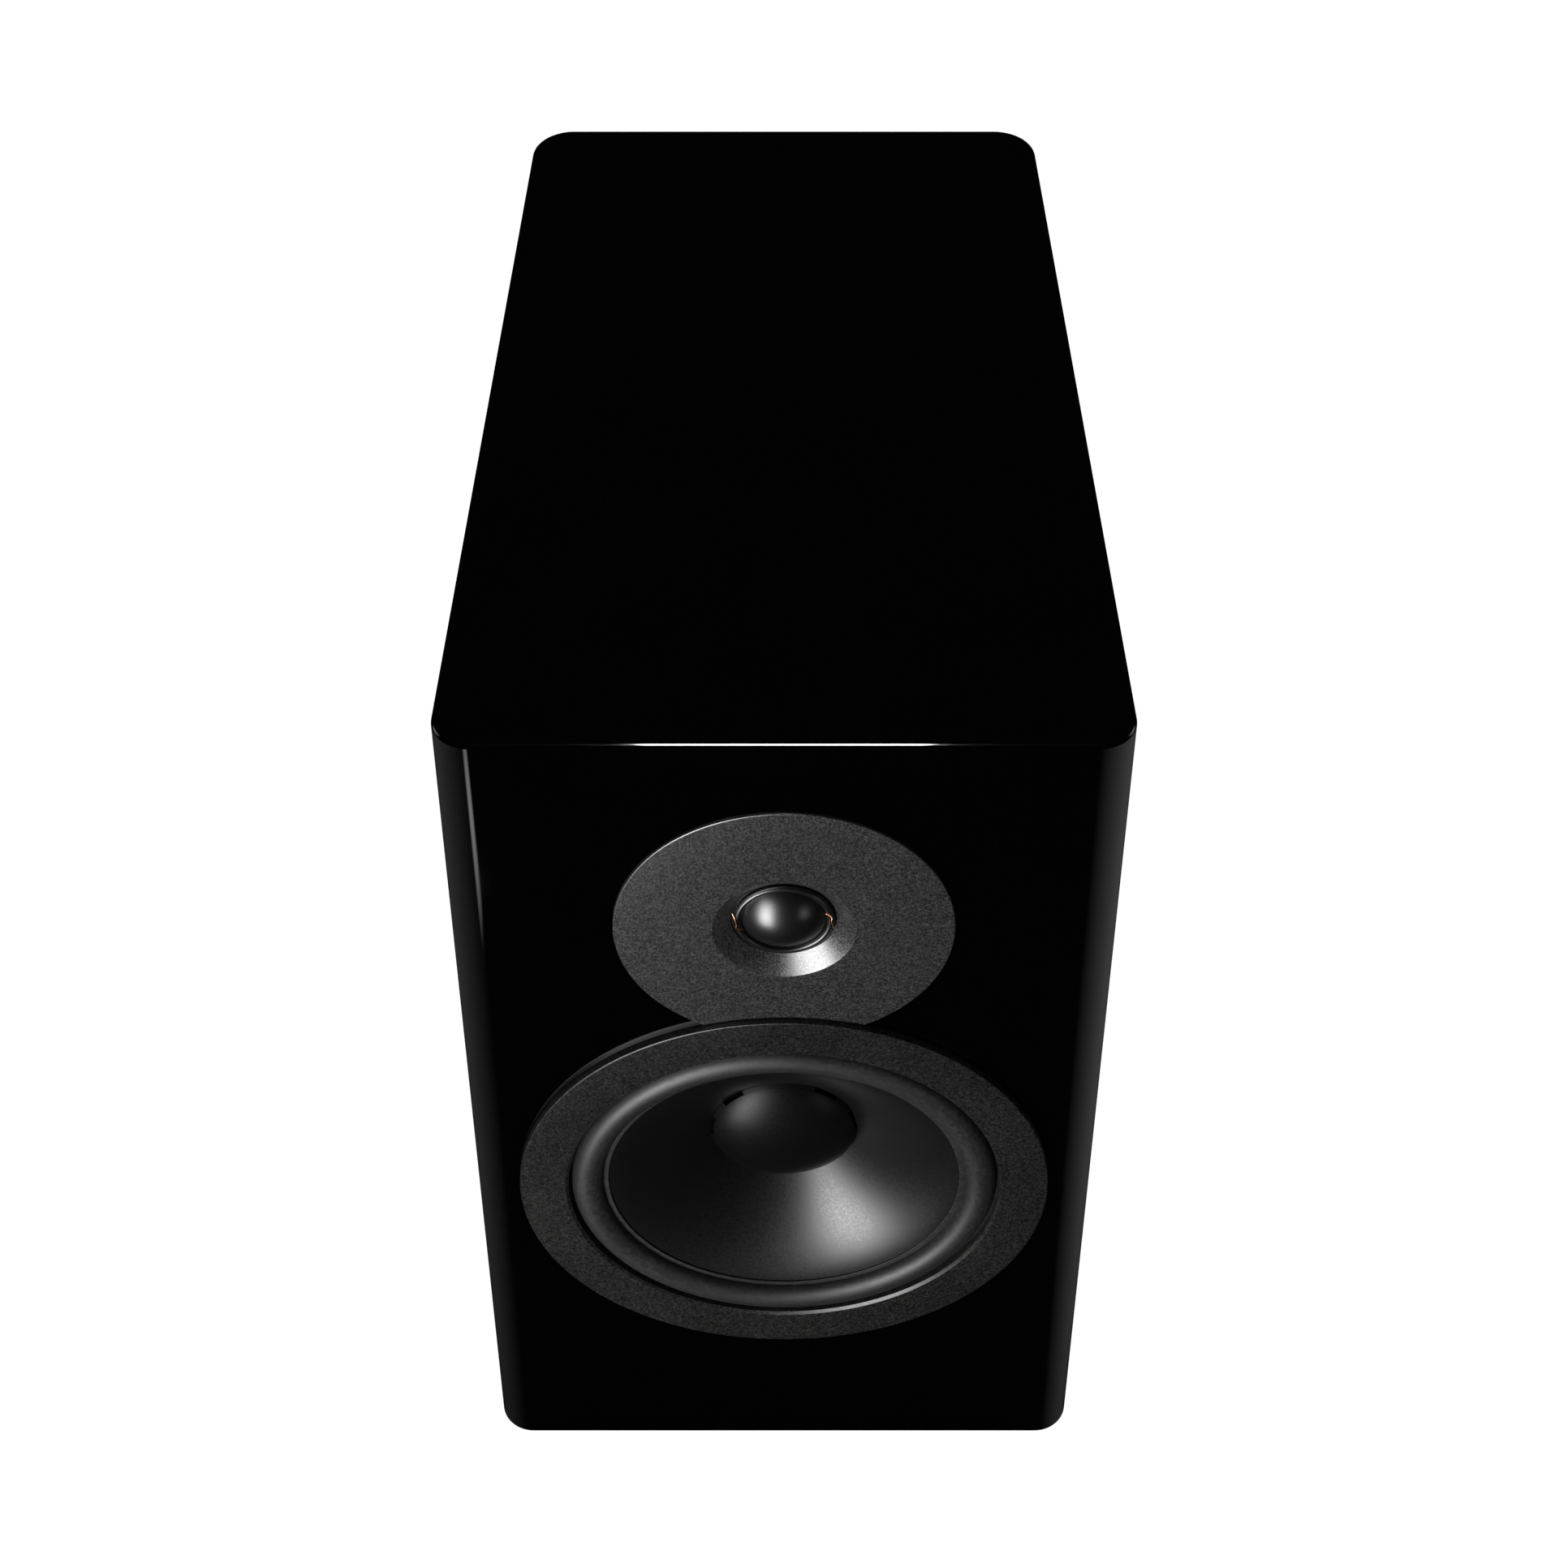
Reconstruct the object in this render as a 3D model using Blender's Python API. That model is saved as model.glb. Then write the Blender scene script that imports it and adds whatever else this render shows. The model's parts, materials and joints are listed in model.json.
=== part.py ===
"""A compact two-way bookshelf loudspeaker with a tapered cabinet and a rear port.

Metres, +Z up. The origin is the centre of the cabinet's base, and the baffle faces -Y. Each driver is built
along its own axis: a distance along it is counted from the baffle's outer face, positive into the cabinet.
"""

import math

import bmesh
import bpy
from mathutils import Vector

MM = 0.001

# Gaps
CLEAR = 0.3 * MM  # between pieces that touch
RUNNING = 0.5 * MM  # round a piece that moves
CUT_MARGIN = 2 * MM  # how far a cutter runs past the face that it opens

# Cabinet
CABINET_WIDTH = 180 * MM
CABINET_BACK_WIDTH = 149 * MM
CABINET_DEPTH = 257 * MM
CABINET_HEIGHT = 315 * MM
FRONT_CORNER_RADIUS = 10 * MM
BACK_CORNER_RADIUS = 12 * MM
RIM_RADIUS = 1.2 * MM
BAFFLE_THICKNESS = 22 * MM
BACK_THICKNESS = 18 * MM
SIDE_THICKNESS = 15 * MM
TOP_THICKNESS = 16 * MM
BOTTOM_THICKNESS = 16 * MM
BRACE_THICKNESS = 8 * MM
BRACE_BORDER = 22 * MM
PAD_THICKNESS = 8 * MM
PAD_MARGIN = 8 * MM

# Where the drivers, the port and the terminals sit
TWEETER_DROP = 70.2 * MM  # cabinet's top to the tweeter's axis
DRIVER_SPACING = 113.25 * MM
PORT_DROP = 72 * MM  # cabinet's top to the port's axis
TERMINAL_HEIGHT = 92 * MM
POST_SPACING = 38 * MM

# Woofer
CONE_EDGE_RADIUS = 52.4 * MM
CONE_EDGE_DEPTH = 1.45 * MM
CONE_THICKNESS = 0.9 * MM
SURROUND_WIDTH = 9.8 * MM  # cone's edge to the ring's bore
SURROUND_HEIGHT = 4.2 * MM
SURROUND_THICKNESS = 0.7 * MM
SURROUND_FLANGE = 4.2 * MM
RING_WIDTH = 14.05 * MM
RING_PROUD = 2.4 * MM
RING_LIP = 0.8 * MM  # height of the slope at the ring's bore
RING_OVERLAP = 2.6 * MM  # how far the ring laps over the baffle round its seat
RING_SKIRT = 1.1 * MM
RING_SKIRT_DEPTH = 2.2 * MM
BASKET_LEDGE = 2.2 * MM  # how far the flange reaches inside the ring's bore
BASKET_FLANGE_FACE = 1.9 * MM
BASKET_FLANGE = 3.1 * MM
BASKET_WALL = 2.4 * MM
BASKET_BELL = 3.4 * MM  # how far outside the ring's bore the bell leaves the flange
SPIDER_LEDGE_RADIUS = 39 * MM
SPIDER_LEDGE_DEPTH = 31 * MM
SPIDER_LEDGE = 3.5 * MM
BASKET_END_DEPTH = 39 * MM
BASKET_WINDOWS = 6
BASKET_WINDOW_WIDTH = 26 * MM
CAP_LAP = 2.8 * MM  # how far the cap reaches outside the coil
CAP_DEPTH = 20 * MM
CAP_HEIGHT = 6.5 * MM
CAP_THICKNESS = 0.8 * MM
WOOFER_COIL_RADIUS = 18.8 * MM
WOOFER_COIL_THICKNESS = 0.9 * MM
WOOFER_COIL_END = 46 * MM
WOOFER_TRAVEL = 5 * MM  # each way
SPIDER_THICKNESS = 0.7 * MM
SPIDER_WAVE = 1.2 * MM
SPIDER_WAVES = 2
WOOFER_GAP_PLATE = 5 * MM
WOOFER_GAP_PLATE_RADIUS = 40 * MM
WOOFER_MAGNET = 15 * MM
WOOFER_MAGNET_RADIUS = 43 * MM
WOOFER_MAGNET_GAP = 6.2 * MM  # coil to magnet
WOOFER_BACK_PLATE = 5 * MM
WOOFER_SCREWS = 4

# Tweeter
FACEPLATE_RADIUS = 45.6 * MM
FACEPLATE_PROUD = 0.6 * MM
FACEPLATE_BACK = 4 * MM
FACEPLATE_EDGE = 0.4 * MM
DISH_SLOPE = 4.9 * MM  # how much wider the dish is at its mouth than at its throat
DISH_GAP = 0.7 * MM  # roll to throat
DOME_RADIUS = 11.4 * MM
DOME_DEPTH = 3.5 * MM
DOME_HEIGHT = 4.8 * MM
DOME_THICKNESS = 0.4 * MM
ROLL_WIDTH = 2.1 * MM
ROLL_HEIGHT = 0.9 * MM
ROLL_THICKNESS = 0.3 * MM
ROLL_FLANGE = 6.5 * MM
TWEETER_COIL_THICKNESS = 0.5 * MM
TWEETER_COIL_END = 9 * MM
TWEETER_TRAVEL = 0.4 * MM  # each way
TWEETER_PLATE_RADIUS = 36 * MM
TWEETER_PLATE = 3 * MM
TWEETER_MAGNET = 8 * MM
TWEETER_MAGNET_RADIUS = 26 * MM
TWEETER_MAGNET_GAP = 3.6 * MM  # dome's edge to magnet
TWEETER_HOLE_GAP = 1.5 * MM  # between the magnet and its hole in the baffle
TWEETER_BACK_PLATE = 3 * MM
TWEETER_CHAMBER = 26 * MM
TWEETER_CHAMBER_WALL = 2 * MM
TWEETER_SCREWS = 3
TWEETER_SCREW_CIRCLE = 31.2 * MM
LEAD_RADIUS = 0.22 * MM
LEAD_RISE = 2.2 * MM

# Screws
SCREW_RADIUS = 1.8 * MM
SCREW_HEAD_RADIUS = 3 * MM
SCREW_HEAD = 1.3 * MM
SCREW_LENGTH = 15 * MM

# Port
PORT_BORE = 22 * MM
PORT_WALL = 2.2 * MM
PORT_LENGTH = 112 * MM
PORT_FLARE = 10 * MM
PORT_FLANGE_WIDTH = 6 * MM
PORT_FLANGE = 2.6 * MM

# Terminals
TERMINAL_PLATE_WIDTH = 92 * MM
TERMINAL_PLATE_HEIGHT = 58 * MM
TERMINAL_PLATE = 4 * MM
TERMINAL_PLATE_RECESS = 3.3 * MM
TERMINAL_PLATE_CORNER = 6 * MM
TERMINAL_BORDER = 12 * MM  # plate that stays on the wood round the hole
TERMINAL_SCREW_INSET = 6 * MM
POST_STUD_RADIUS = 3.2 * MM
POST_STUD_LENGTH = 22 * MM
POST_STUD_INSIDE = 12 * MM
POST_SOCKET_RADIUS = 2.05 * MM
POST_SOCKET_DEPTH = 14 * MM
POST_BUSH_RADIUS = 7.4 * MM
POST_BUSH = 4.5 * MM
POST_WASHER_RADIUS = 6.4 * MM
POST_WASHER = 1.2 * MM
POST_KNOB_RADIUS = 7.6 * MM
POST_KNOB = 17 * MM
POST_KNOB_FLUTES = 12
POST_KNOB_FLUTE_RADIUS = 1.1 * MM

# Crossover and wiring
BOARD_WIDTH = 88 * MM
BOARD_DEPTH = 112 * MM
BOARD_THICKNESS = 6 * MM
BOARD_EDGE = 4 * MM
INDUCTOR_RADIUS = 21 * MM
INDUCTOR_BORE = 9 * MM
INDUCTOR_HEIGHT = 16 * MM
SMALL_INDUCTOR_RADIUS = 14 * MM
SMALL_INDUCTOR_BORE = 7 * MM
SMALL_INDUCTOR_HEIGHT = 13 * MM
CAPACITOR_RADIUS = 9 * MM
CAPACITOR_LENGTH = 34 * MM
SMALL_CAPACITOR_RADIUS = 6.5 * MM
SMALL_CAPACITOR_LENGTH = 26 * MM
RESISTOR_SIDE = 9 * MM
RESISTOR_LENGTH = 38 * MM
PART_SPACING = 5 * MM
WIRE_RADIUS = 1.6 * MM
WIRE_STEP = 12 * MM

# Facets
ROUND_SEGMENTS = 36
PLAIN_SEGMENTS = 20  # pieces that nothing shows closely
POST_SEGMENTS = 16
PORT_SEGMENTS = 28
SMALL_SEGMENTS = 12
ARC_SEGMENTS = 4
RIM_SEGMENTS = 2
FLUTE_SEGMENTS = 4
WELD = 0.001 * MM
ON_AXIS = 0.01 * MM
SHARP_ANGLE = math.radians(35)

# Worked out from the sizes above
FRONT = -CABINET_DEPTH / 2
BACK = CABINET_DEPTH / 2
BAFFLE_BACK = FRONT + BAFFLE_THICKNESS
BACK_INSIDE = BACK - BACK_THICKNESS
PANEL_FRONT = BAFFLE_BACK + CLEAR
PANEL_BACK = BACK_INSIDE - CLEAR
FLOOR_INSIDE = BOTTOM_THICKNESS
TWEETER_Z = CABINET_HEIGHT - TWEETER_DROP
WOOFER_Z = TWEETER_Z - DRIVER_SPACING
PORT_Z = CABINET_HEIGHT - PORT_DROP
WOOFER_ORIGIN = Vector((0.0, FRONT, WOOFER_Z))
TWEETER_ORIGIN = Vector((0.0, FRONT, TWEETER_Z))
PORT_ORIGIN = Vector((0.0, BACK, PORT_Z))
RING_BORE = CONE_EDGE_RADIUS + SURROUND_WIDTH
RING_RADIUS = RING_BORE + RING_WIDTH
BASKET_SHOULDER = RING_BORE + BASKET_BELL
WOOFER_SEAT_RADIUS = RING_RADIUS - RING_OVERLAP
BASKET_FLANGE_BACK = BASKET_FLANGE_FACE + BASKET_FLANGE
BASKET_FLANGE_RADIUS = WOOFER_SEAT_RADIUS - RING_SKIRT - 2 * CLEAR
WOOFER_SCREW_CIRCLE = (BASKET_SHOULDER + BASKET_FLANGE_RADIUS) / 2
CAP_RADIUS = WOOFER_COIL_RADIUS + CAP_LAP
ROLL_OUTER = DOME_RADIUS + ROLL_WIDTH
DISH_THROAT = ROLL_OUTER + DISH_GAP
DISH_RADIUS = DISH_THROAT + DISH_SLOPE
TWEETER_PLATE_FACE = FACEPLATE_BACK + 2 * CLEAR + ROLL_THICKNESS
TWEETER_PLATE_BACK = TWEETER_PLATE_FACE + TWEETER_PLATE
TWEETER_HOLE_RADIUS = TWEETER_MAGNET_RADIUS + TWEETER_HOLE_GAP
PORT_FLANGE_RADIUS = PORT_BORE + PORT_FLARE + PORT_FLANGE_WIDTH
TERMINAL_FACE = BACK - TERMINAL_PLATE_RECESS + CLEAR + TERMINAL_PLATE
BOARD_TOP = FLOOR_INSIDE + CLEAR + BOARD_THICKNESS

POSTS = (("red", -1), ("black", 1))


def clear_scene():
    """Removes what the scene holds."""
    for thing in list(bpy.data.objects):
        bpy.data.objects.remove(thing, do_unlink=True)


def finish(name, colour, roughness, metallic=0.0):
    """A plain Principled material."""
    material = bpy.data.materials.new(name)
    material.use_nodes = True
    shader = material.node_tree.nodes["Principled BSDF"]
    shader.inputs["Base Color"].default_value = (*colour, 1.0)
    shader.inputs["Roughness"].default_value = roughness
    shader.inputs["Metallic"].default_value = metallic
    material.diffuse_color = (*colour, 1.0)
    return material


def solid(name, bm, material, location=(0.0, 0.0, 0.0)):
    """Makes an object of a bmesh, with smooth faces between its sharp edges."""
    mesh = bpy.data.meshes.new(name)
    bm.to_mesh(mesh)
    bm.free()
    mesh.shade_smooth()
    mesh.set_sharp_from_angle(angle=SHARP_ANGLE)
    if material:
        mesh.materials.append(material)
    made = bpy.data.objects.new(name, mesh)
    made.location = location
    bpy.context.scene.collection.objects.link(made)
    return made


def turned(name, origin, profile, material, segments=ROUND_SEGMENTS):
    """A solid turned about the line along Y through origin.

    The profile is closed, and its points are (radius, distance along Y).
    """
    bm = bmesh.new()
    points = [bm.verts.new((radius, along, 0.0)) for radius, along in profile]
    edges = []
    for start, end in zip(points, points[1:] + points[:1]):
        if max(start.co.x, end.co.x) > ON_AXIS:
            edges.append(bm.edges.new((start, end)))
    bmesh.ops.spin(
        bm,
        geom=points + edges,
        cent=(0.0, 0.0, 0.0),
        axis=(0.0, 1.0, 0.0),
        angle=math.tau,
        steps=segments,
        use_merge=True,
    )
    bmesh.ops.remove_doubles(bm, verts=bm.verts, dist=WELD)
    bmesh.ops.recalc_face_normals(bm, faces=bm.faces)
    return solid(name, bm, material, origin)


def turned_upright(name, origin, profile, material, segments=ROUND_SEGMENTS):
    """As turned, with the axis standing along Z."""
    made = turned(name, origin, profile, material, segments)
    made.rotation_euler.x = math.pi / 2
    return made


def prism(name, outline, low, high, material, along_y=False, rim=0.0, keep_sharp=None):
    """An outline of (x, y) drawn out along Z from low to high, or of (x, z) along Y.

    rim rounds the long edges of both end faces, apart from those that keep_sharp picks by their two ends.
    """
    bm = bmesh.new()
    corners = [bm.verts.new((x, low, y) if along_y else (x, y, low)) for x, y in outline]
    face = bm.faces.new(corners)
    drawn = bmesh.ops.extrude_face_region(bm, geom=[face])
    moved = [item for item in drawn["geom"] if isinstance(item, bmesh.types.BMVert)]
    travel = high - low
    bmesh.ops.translate(bm, verts=moved, vec=(0.0, travel, 0.0) if along_y else (0.0, 0.0, travel))
    bmesh.ops.recalc_face_normals(bm, faces=bm.faces)
    if rim:
        height = 1 if along_y else 2
        level = [
            edge
            for edge in bm.edges
            if abs(edge.verts[0].co[height] - edge.verts[1].co[height]) < ON_AXIS
            and not (keep_sharp and keep_sharp(edge.verts[0].co, edge.verts[1].co))
        ]
        bmesh.ops.bevel(bm, geom=level, offset=rim, segments=RIM_SEGMENTS, profile=0.5, affect="EDGES")
    return solid(name, bm, material)


def block(name, low, high, material):
    """A square-edged box between two corners."""
    outline = [(low[0], low[1]), (high[0], low[1]), (high[0], high[1]), (low[0], high[1])]
    return prism(name, outline, low[2], high[2], material)


def cut(target, cutter):
    """Cuts one helper solid out of a piece, and keeps the helper out of the build."""
    cutter.hide_render = True
    cutter.display_type = "WIRE"
    modifier = target.modifiers.new("Cut " + cutter.name, "BOOLEAN")
    modifier.operation = "DIFFERENCE"
    modifier.solver = "EXACT"
    modifier.object = cutter


def bore(target, origin, steps, end, segments=ROUND_SEGMENTS):
    """Cuts a round hole along Y, whose steps of (radius, where it starts) follow each other up to end."""
    starts = [start for _, start in steps] + [end]
    profile = [(0.0, starts[0])]
    for (radius, start), stop in zip(steps, starts[1:]):
        profile += [(radius, start), (radius, stop)]
    profile.append((0.0, end))
    cutter = turned(target.name + ".bore", origin, profile, None, segments)
    cut(target, cutter)
    return cutter


def screw_hole(target, place, start, end):
    """Cuts a screw's clearance hole, turned so that a flat of it faces the driver's axis."""
    cutter = bore(target, place, [(SCREW_RADIUS + CLEAR, start)], end, SMALL_SEGMENTS)
    cutter.rotation_euler.y = math.pi / SMALL_SEGMENTS


def fillet(corner, toward_start, toward_end, radius):
    """Points of the round corner between two lines that meet, in the order that they are met."""
    start = toward_start.normalized()
    end = toward_end.normalized()
    half = start.angle(end) / 2
    centre = corner + (start + end).normalized() * (radius / math.sin(half))
    first = (corner + start * (radius / math.tan(half)) - centre).normalized()
    last = (corner + end * (radius / math.tan(half)) - centre).normalized()
    shares = [step / ARC_SEGMENTS for step in range(ARC_SEGMENTS + 1)]
    return [tuple(centre + radius * first.slerp(last, share)) for share in shares]


def arc(centre, radius, start, end, steps):
    """Points on a circle between two angles, both ends included."""
    angles = [start + (end - start) * step / steps for step in range(steps + 1)]
    return [(centre[0] + radius * math.cos(a), centre[1] + radius * math.sin(a)) for a in angles]


def rounded_rectangle(centre, width, height, radius):
    """Corners of a rectangle with round corners."""
    outline = []
    for quarter, (side, rise) in enumerate(((1, 1), (-1, 1), (-1, -1), (1, -1))):
        middle = (centre[0] + side * (width / 2 - radius), centre[1] + rise * (height / 2 - radius))
        start = quarter * math.pi / 2
        outline += arc(middle, radius, start, start + math.pi / 2, ARC_SEGMENTS)
    return outline


def half_width(y):
    """The cabinet's half width at a depth, which narrows evenly from front to back."""
    share = (y - FRONT) / CABINET_DEPTH
    return (CABINET_WIDTH + (CABINET_BACK_WIDTH - CABINET_WIDTH) * share) / 2


def inside_width(y):
    """Half the space between the side panels at a depth."""
    return half_width(y) - SIDE_THICKNESS


def mirrored(right):
    """Closes an outline from its right side, which runs from front to back."""
    return right + [(-x, y) for x, y in reversed(right)]


def spoke(origin, radius, angle, offset=0.0):
    """The point at an angle from +X about a driver's axis, and at a distance along it."""
    return origin + Vector((radius * math.cos(angle), offset, radius * math.sin(angle)))


def around(count, start):
    """Equal angles all round, from a first one."""
    return [start + math.tau * n / count for n in range(count)]


WOOFER_SCREW_ANGLES = around(WOOFER_SCREWS, math.pi / 4)
TWEETER_SCREW_ANGLES = around(TWEETER_SCREWS, math.pi / 2)


# ---------------------------------------------------------------- cabinet


def front_outline():
    """The baffle's plan, with the cabinet's round front corners."""
    corner = Vector((half_width(FRONT), FRONT))
    back = Vector((half_width(BAFFLE_BACK), BAFFLE_BACK))
    right = fillet(corner, Vector((-1.0, 0.0)), back - corner, FRONT_CORNER_RADIUS)
    return mirrored(right + [tuple(back)])


def back_outline():
    """The back panel's plan, with the cabinet's round back corners."""
    corner = Vector((half_width(BACK), BACK))
    front = Vector((half_width(BACK_INSIDE), BACK_INSIDE))
    right = fillet(corner, front - corner, Vector((-1.0, 0.0)), BACK_CORNER_RADIUS)
    return mirrored([tuple(front)] + right)


def faceplate_outline(radius, ring_radius):
    """The tweeter's disc, with the woofer's circle taken out of its bottom, as (x, z)."""
    reach = DRIVER_SPACING
    at_tweeter = math.acos((reach**2 + radius**2 - ring_radius**2) / (2 * reach * radius))
    at_woofer = math.acos((reach**2 + ring_radius**2 - radius**2) / (2 * reach * ring_radius))
    down = -math.pi / 2
    disc = arc((0.0, TWEETER_Z), radius, down + at_tweeter, down + math.tau - at_tweeter, ROUND_SEGMENTS)
    left = math.pi / 2 + at_woofer
    right = math.pi / 2 - at_woofer
    scoop = arc((0.0, WOOFER_Z), ring_radius, left, right, 2 * ARC_SEGMENTS)
    return disc + scoop[1:-1]


def make_baffle(lacquer):
    """The front panel, with the drivers' seats, holes and screw holes."""

    def on_seam(first, second):
        return min(first.y, second.y) > BAFFLE_BACK - ON_AXIS

    baffle = prism(
        "front_baffle", front_outline(), 0.0, CABINET_HEIGHT, lacquer, rim=RIM_RADIUS, keep_sharp=on_seam
    )
    through = BAFFLE_THICKNESS + CUT_MARGIN
    seat = BASKET_FLANGE_BACK + CLEAR
    steps = [(WOOFER_SEAT_RADIUS, -CUT_MARGIN), (BASKET_SHOULDER + CLEAR, seat)]
    bore(baffle, WOOFER_ORIGIN, steps, through)
    outline = faceplate_outline(FACEPLATE_RADIUS + CLEAR, RING_RADIUS)
    recess = prism(
        "faceplate_recess", outline, FRONT - CUT_MARGIN, FRONT + FACEPLATE_BACK + CLEAR, None, along_y=True
    )
    cut(baffle, recess)
    seat = TWEETER_PLATE_BACK + CLEAR
    steps = [(TWEETER_PLATE_RADIUS + CLEAR, 0.0), (TWEETER_HOLE_RADIUS, seat)]
    bore(baffle, TWEETER_ORIGIN, steps, through)
    for angle in WOOFER_SCREW_ANGLES:
        place = spoke(WOOFER_ORIGIN, WOOFER_SCREW_CIRCLE, angle)
        screw_hole(baffle, place, 0.0, BASKET_FLANGE_FACE + SCREW_LENGTH)
    for angle in TWEETER_SCREW_ANGLES:
        place = spoke(TWEETER_ORIGIN, TWEETER_SCREW_CIRCLE, angle)
        screw_hole(baffle, place, FACEPLATE_BACK, TWEETER_PLATE_FACE + SCREW_LENGTH + CLEAR)


def make_back_panel(lacquer):
    """The rear panel, with the port's seat and the terminal plate's recess."""

    def on_seam(first, second):
        return max(first.y, second.y) < BACK_INSIDE + ON_AXIS

    panel = prism(
        "back_panel", back_outline(), 0.0, CABINET_HEIGHT, lacquer, rim=RIM_RADIUS, keep_sharp=on_seam
    )
    inside = -BACK_THICKNESS - CUT_MARGIN
    steps = [
        (PORT_BORE + PORT_WALL + CLEAR, inside),
        (PORT_BORE + PORT_FLARE + PORT_WALL, -PORT_FLARE - CLEAR),
        (PORT_FLANGE_RADIUS + CLEAR, -PORT_FLANGE - CLEAR),
    ]
    bore(panel, PORT_ORIGIN, steps, CUT_MARGIN, PORT_SEGMENTS)
    centre = (0.0, TERMINAL_HEIGHT)
    width = TERMINAL_PLATE_WIDTH + 2 * CLEAR
    height = TERMINAL_PLATE_HEIGHT + 2 * CLEAR
    outline = rounded_rectangle(centre, width, height, TERMINAL_PLATE_CORNER)
    recess = prism(
        "terminal_recess", outline, BACK - TERMINAL_PLATE_RECESS, BACK + CUT_MARGIN, None, along_y=True
    )
    cut(panel, recess)
    outline = rounded_rectangle(
        centre, width - 2 * TERMINAL_BORDER, height - 2 * TERMINAL_BORDER, TERMINAL_PLATE_CORNER
    )
    window = prism("terminal_window", outline, BACK + inside, BACK + CUT_MARGIN, None, along_y=True)
    cut(panel, window)
    for place in terminal_screw_places():
        screw_hole(panel, place, -SCREW_LENGTH - CLEAR, 0.0)


def make_side_panels(lacquer):
    """The two side panels, which stand between the baffle and the back panel."""

    def inner_edge(first, second):
        ends = (first, second)
        return any(abs(abs(end.x) - inside_width(end.y)) < ON_AXIS for end in ends)

    for name, side in (("right_side_panel", 1), ("left_side_panel", -1)):
        outline = [
            (side * inside_width(PANEL_FRONT), PANEL_FRONT),
            (side * half_width(PANEL_FRONT), PANEL_FRONT),
            (side * half_width(PANEL_BACK), PANEL_BACK),
            (side * inside_width(PANEL_BACK), PANEL_BACK),
        ]
        prism(name, outline, 0.0, CABINET_HEIGHT, lacquer, rim=RIM_RADIUS, keep_sharp=inner_edge)


def make_inside_panel(name, low, high, material):
    """A level panel that fills the space between the four walls, which it touches."""
    right = [(inside_width(y) - CLEAR, y) for y in (PANEL_FRONT, PANEL_BACK)]
    return prism(name, mirrored(right), low, high, material)


def brace_bottom():
    """The brace's lower face, which clears the woofer's basket."""
    return WOOFER_Z + BASKET_SHOULDER + CLEAR


def make_brace(board):
    """A shelf between the drivers, open in the middle so that both share one volume of air."""
    low = brace_bottom()
    brace = make_inside_panel("cabinet_brace", low, low + BRACE_THICKNESS, board)
    right = [
        (inside_width(y) - BRACE_BORDER, y) for y in (PANEL_FRONT + BRACE_BORDER, PANEL_BACK - BRACE_BORDER)
    ]
    window = prism(
        "brace_window", mirrored(right), low - CUT_MARGIN, low + BRACE_THICKNESS + CUT_MARGIN, None
    )
    cut(brace, window)


def make_pads(foam):
    """Absorbing pads on the side walls, below the brace."""
    low = FLOOR_INSIDE + PAD_MARGIN
    high = brace_bottom() - PAD_MARGIN
    for name, side in (("damping_pad_right", 1), ("damping_pad_left", -1)):
        outline = []
        depths = (PANEL_FRONT + PAD_MARGIN, PANEL_BACK - PAD_MARGIN)
        outline += [(side * (inside_width(y) - CLEAR), y) for y in depths]
        outline += [(side * (inside_width(y) - CLEAR - PAD_THICKNESS), y) for y in reversed(depths)]
        prism(name, outline, low, high, foam)


def make_cabinet(lacquer, board, foam):
    """The box itself and what lines it."""
    make_baffle(lacquer)
    make_back_panel(lacquer)
    make_side_panels(lacquer)
    make_inside_panel("bottom_panel", 0.0, FLOOR_INSIDE, lacquer)
    make_inside_panel("top_panel", CABINET_HEIGHT - TOP_THICKNESS, CABINET_HEIGHT, lacquer)
    make_brace(board)
    make_pads(foam)


# ---------------------------------------------------------------- woofer


def cone_depth(radius):
    """How deep the cone's front face lies at a radius: a straight flare from its edge to the cap."""
    share = (CONE_EDGE_RADIUS - radius) / (CONE_EDGE_RADIUS - CAP_RADIUS)
    return CONE_EDGE_DEPTH + (CAP_DEPTH - CONE_EDGE_DEPTH) * share


def dome_profile(radius, rim, height, steps):
    """Front of a shallow dome from its rim to its axis, as (radius, distance along the axis)."""
    sphere = (radius**2 + height**2) / (2 * height)
    profile = []
    for step in range(steps + 1):
        r = radius * (1 - step / steps)
        profile.append((r, rim - height + sphere - math.sqrt(sphere**2 - r**2)))
    return profile


def shell_of(profile, thickness):
    """Closes an open profile by running back along it at a distance behind."""
    return profile + [(r, along + thickness) for r, along in reversed(profile)]


def make_ring(trim):
    """The trim ring, which covers the basket's flange and its screws."""
    skirt = WOOFER_SEAT_RADIUS - CLEAR
    profile = [
        (RING_BORE, -CLEAR),
        (RING_BORE, RING_LIP - RING_PROUD),
        (RING_BORE + RING_LIP, -RING_PROUD),
        (RING_RADIUS - RING_LIP / 2, -RING_PROUD),
        (RING_RADIUS, RING_LIP / 2 - RING_PROUD),
        (RING_RADIUS, -CLEAR),
        (skirt, -CLEAR),
        (skirt, RING_SKIRT_DEPTH),
        (skirt - RING_SKIRT, RING_SKIRT_DEPTH),
        (skirt - RING_SKIRT, -CLEAR),
    ]
    turned("woofer_trim_ring", WOOFER_ORIGIN, profile, trim)


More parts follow.
